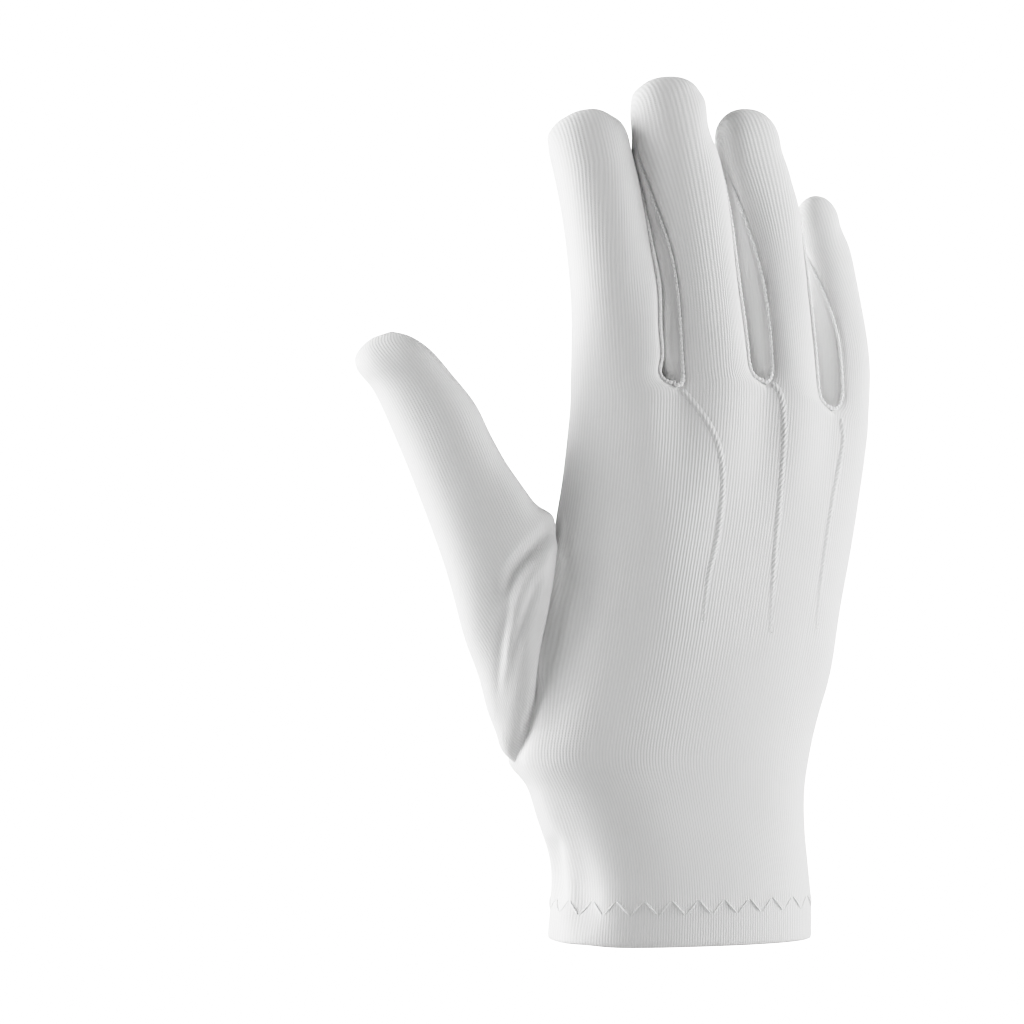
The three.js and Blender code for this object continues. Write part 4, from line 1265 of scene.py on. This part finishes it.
fork_grids = skin_grids[len(STRIPS) :]
turns = np.linspace(0, 2 * math.pi, CORD_SIDES, endpoint=False)
cord_places, cord_faces = [], []
for gap in range(3):
    before, after = fork_grids[2 * gap], fork_grids[2 * gap + 1]
    for edges, insides in (((0, -1), (2, -3)), ((-1, 0), (-3, 2))):
        seam_at, inside_at = (
            np.vstack([place[weld[before[::-1, columns[0]]]], place[weld[after[1:, columns[1]]]]])
            for columns in (edges, insides)
        )
        travelled = travelled_along(seam_at)
        foot_at = travelled[len(before) - 1]
        where = np.arange(CORD_START, travelled[-1] - CORD_START, CORD_STEP)
        line = read_along(where, travelled, seam_at)
        inside = read_along(where, travelled, inside_at)
        line, facing = on_surface(line + unit(inside - line) * CORD_INSET, skin_tree)
        along = unit(np.gradient(line, axis=0))
        sideways = unit(np.cross(along, facing))
        upwards = np.cross(sideways, along)
        foot = np.exp(-(((where - foot_at) / FOOT_REACH) ** 2))
        scallop = CORD_LOW + (1 - CORD_LOW) * np.abs(np.cos(math.pi * where / OVERCAST))
        radius = (CORD_RADIUS + CORD_FOOT * foot) * scallop
        radius = radius * np.clip(np.minimum(where - where[0], where[-1] - where) / CORD_TAPER, 0.15, 1)
        middle = line + facing * (CORD_LIFT - CORD_RADIUS + radius)[:, None]
        cosines, sines = np.cos(turns)[None, :, None], np.sin(turns)[None, :, None]
        ring = cosines * sideways[:, None] + sines * upwards[:, None]
        first = sum(len(part) for part in cord_places)
        cord_places.append((middle[:, None] + ring * radius[:, None, None]).reshape(-1, 3))
        number = first + np.arange(len(where) * CORD_SIDES).reshape(len(where), CORD_SIDES)
        beside = np.roll(number, -1, axis=1)
        around = np.stack([number[:-1], beside[:-1], beside[1:], number[1:]], -1)
        cord_faces.extend(around.reshape(-1, 4).tolist())
        cord_faces.extend([number[0, ::-1].tolist(), number[-1].tolist()])
cord_mesh = bpy.data.meshes.new("overcast_edges")
cord_mesh.from_pydata((np.vstack(cord_places) / 1000).tolist(), [], cord_faces)
cord_mesh.shade_smooth()
added_piece("overcast_edges", cord_mesh, thread_material)

# Floor and light
# A seamless white sweep, with tall soft strip lights at the left and the right, and little light from the
# front. The sweep glows white to the camera and stays dim to the glove.
sweep_material = bpy.data.materials.new("white sweep")
sweep_material.use_nodes = True
nodes, links = sweep_material.node_tree.nodes, sweep_material.node_tree.links
nodes.remove(nodes["Principled BSDF"])
seen_glow, other_glow = nodes.new("ShaderNodeEmission"), nodes.new("ShaderNodeEmission")
seen_glow.inputs["Strength"].default_value = 1.0
other_glow.inputs["Strength"].default_value = 0.065
ray, choice = nodes.new("ShaderNodeLightPath"), nodes.new("ShaderNodeMixShader")
links.new(ray.outputs["Is Camera Ray"], choice.inputs["Fac"])
links.new(other_glow.outputs[0], choice.inputs[1])
links.new(seen_glow.outputs[0], choice.inputs[2])
links.new(choice.outputs[0], nodes["Material Output"].inputs["Surface"])

SWEEP_SIZE = 3.0
SWEEP_START = 0.9
SWEEP_RADIUS = 0.8
FLOOR_HEIGHT = -0.12
profile = [(-SWEEP_SIZE, 0.0), (SWEEP_START, 0.0)]
for turn in np.linspace(0.2, math.pi / 2, 8):
    away = SWEEP_START + SWEEP_RADIUS * math.sin(turn)
    profile.append((away, SWEEP_RADIUS - SWEEP_RADIUS * math.cos(turn)))
profile.append((SWEEP_START + SWEEP_RADIUS, SWEEP_SIZE))
sweep_mesh = bpy.data.meshes.new("floor")
vertices = []
for away, up in profile:
    for side in (-SWEEP_SIZE, SWEEP_SIZE):
        level = look * away + across_view * side
        vertices.append((level[0], level[1], up + FLOOR_HEIGHT))
bands = [(2 * i, 2 * i + 1, 2 * i + 3, 2 * i + 2) for i in range(len(profile) - 1)]
sweep_mesh.from_pydata(vertices, [], bands)
sweep_mesh.shade_smooth()
sweep_mesh.materials.append(sweep_material)
floor = bpy.data.objects.new("floor", sweep_mesh)
scene.collection.objects.link(floor)

world = bpy.data.worlds.new("studio")
world.use_nodes = True
world.node_tree.nodes["Background"].inputs["Color"].default_value = (1, 1, 1, 1)
world.node_tree.nodes["Background"].inputs["Strength"].default_value = 0.0
scene.world = world

AIM_HEIGHT = 0.12


def soft_light(name, away, side, up, size, power):
    """A soft box that looks at the middle of the glove. Its place is given as seen from the camera."""
    data = bpy.data.lights.new(name, "AREA")
    data.shape = "RECTANGLE"
    data.size, data.size_y = size
    data.energy = power
    lamp = bpy.data.objects.new(name, data)
    scene.collection.objects.link(lamp)
    lamp.location = Vector(look * away + across_view * side) + Vector((0, 0, up))
    aim = Vector((0, 0, AIM_HEIGHT)) - lamp.location
    lamp.rotation_euler = aim.to_track_quat("-Z", "Y").to_euler()


STRIP = (0.3, 1.2)
soft_light("left strip box", -0.12, -0.95, 0.2, STRIP, 1.35)
soft_light("left back strip box", 0.1, -0.95, 0.2, STRIP, 2.6)
soft_light("left front strip box", -0.32, -0.9, 0.2, STRIP, 0.95)
soft_light("right strip box", 0.12, 0.95, 0.2, STRIP, 2.1)
soft_light("right front strip box", -0.35, 0.9, 0.2, STRIP, 1.1)
soft_light("front soft box", -0.95, 0.0, 0.12, (0.9, 0.3), 0.12)
soft_light("front low box", -0.9, 0.0, -0.02, (0.9, 0.16), 0.07)

# The camera has a soft shoulder: tones rise fast in the shade and slowly near white.
SHOULDER = 8.0
scene.view_settings.view_transform = "Standard"
scene.view_settings.use_curve_mapping = True
shoulder = scene.view_settings.curve_mapping.curves[3]
for level in (0.02, 0.05, 0.09, 0.14, 0.2, 0.28, 0.38, 0.5, 0.7):
    shoulder.points.new(level, 1 - math.exp(-SHOULDER * level))
scene.view_settings.curve_mapping.update()
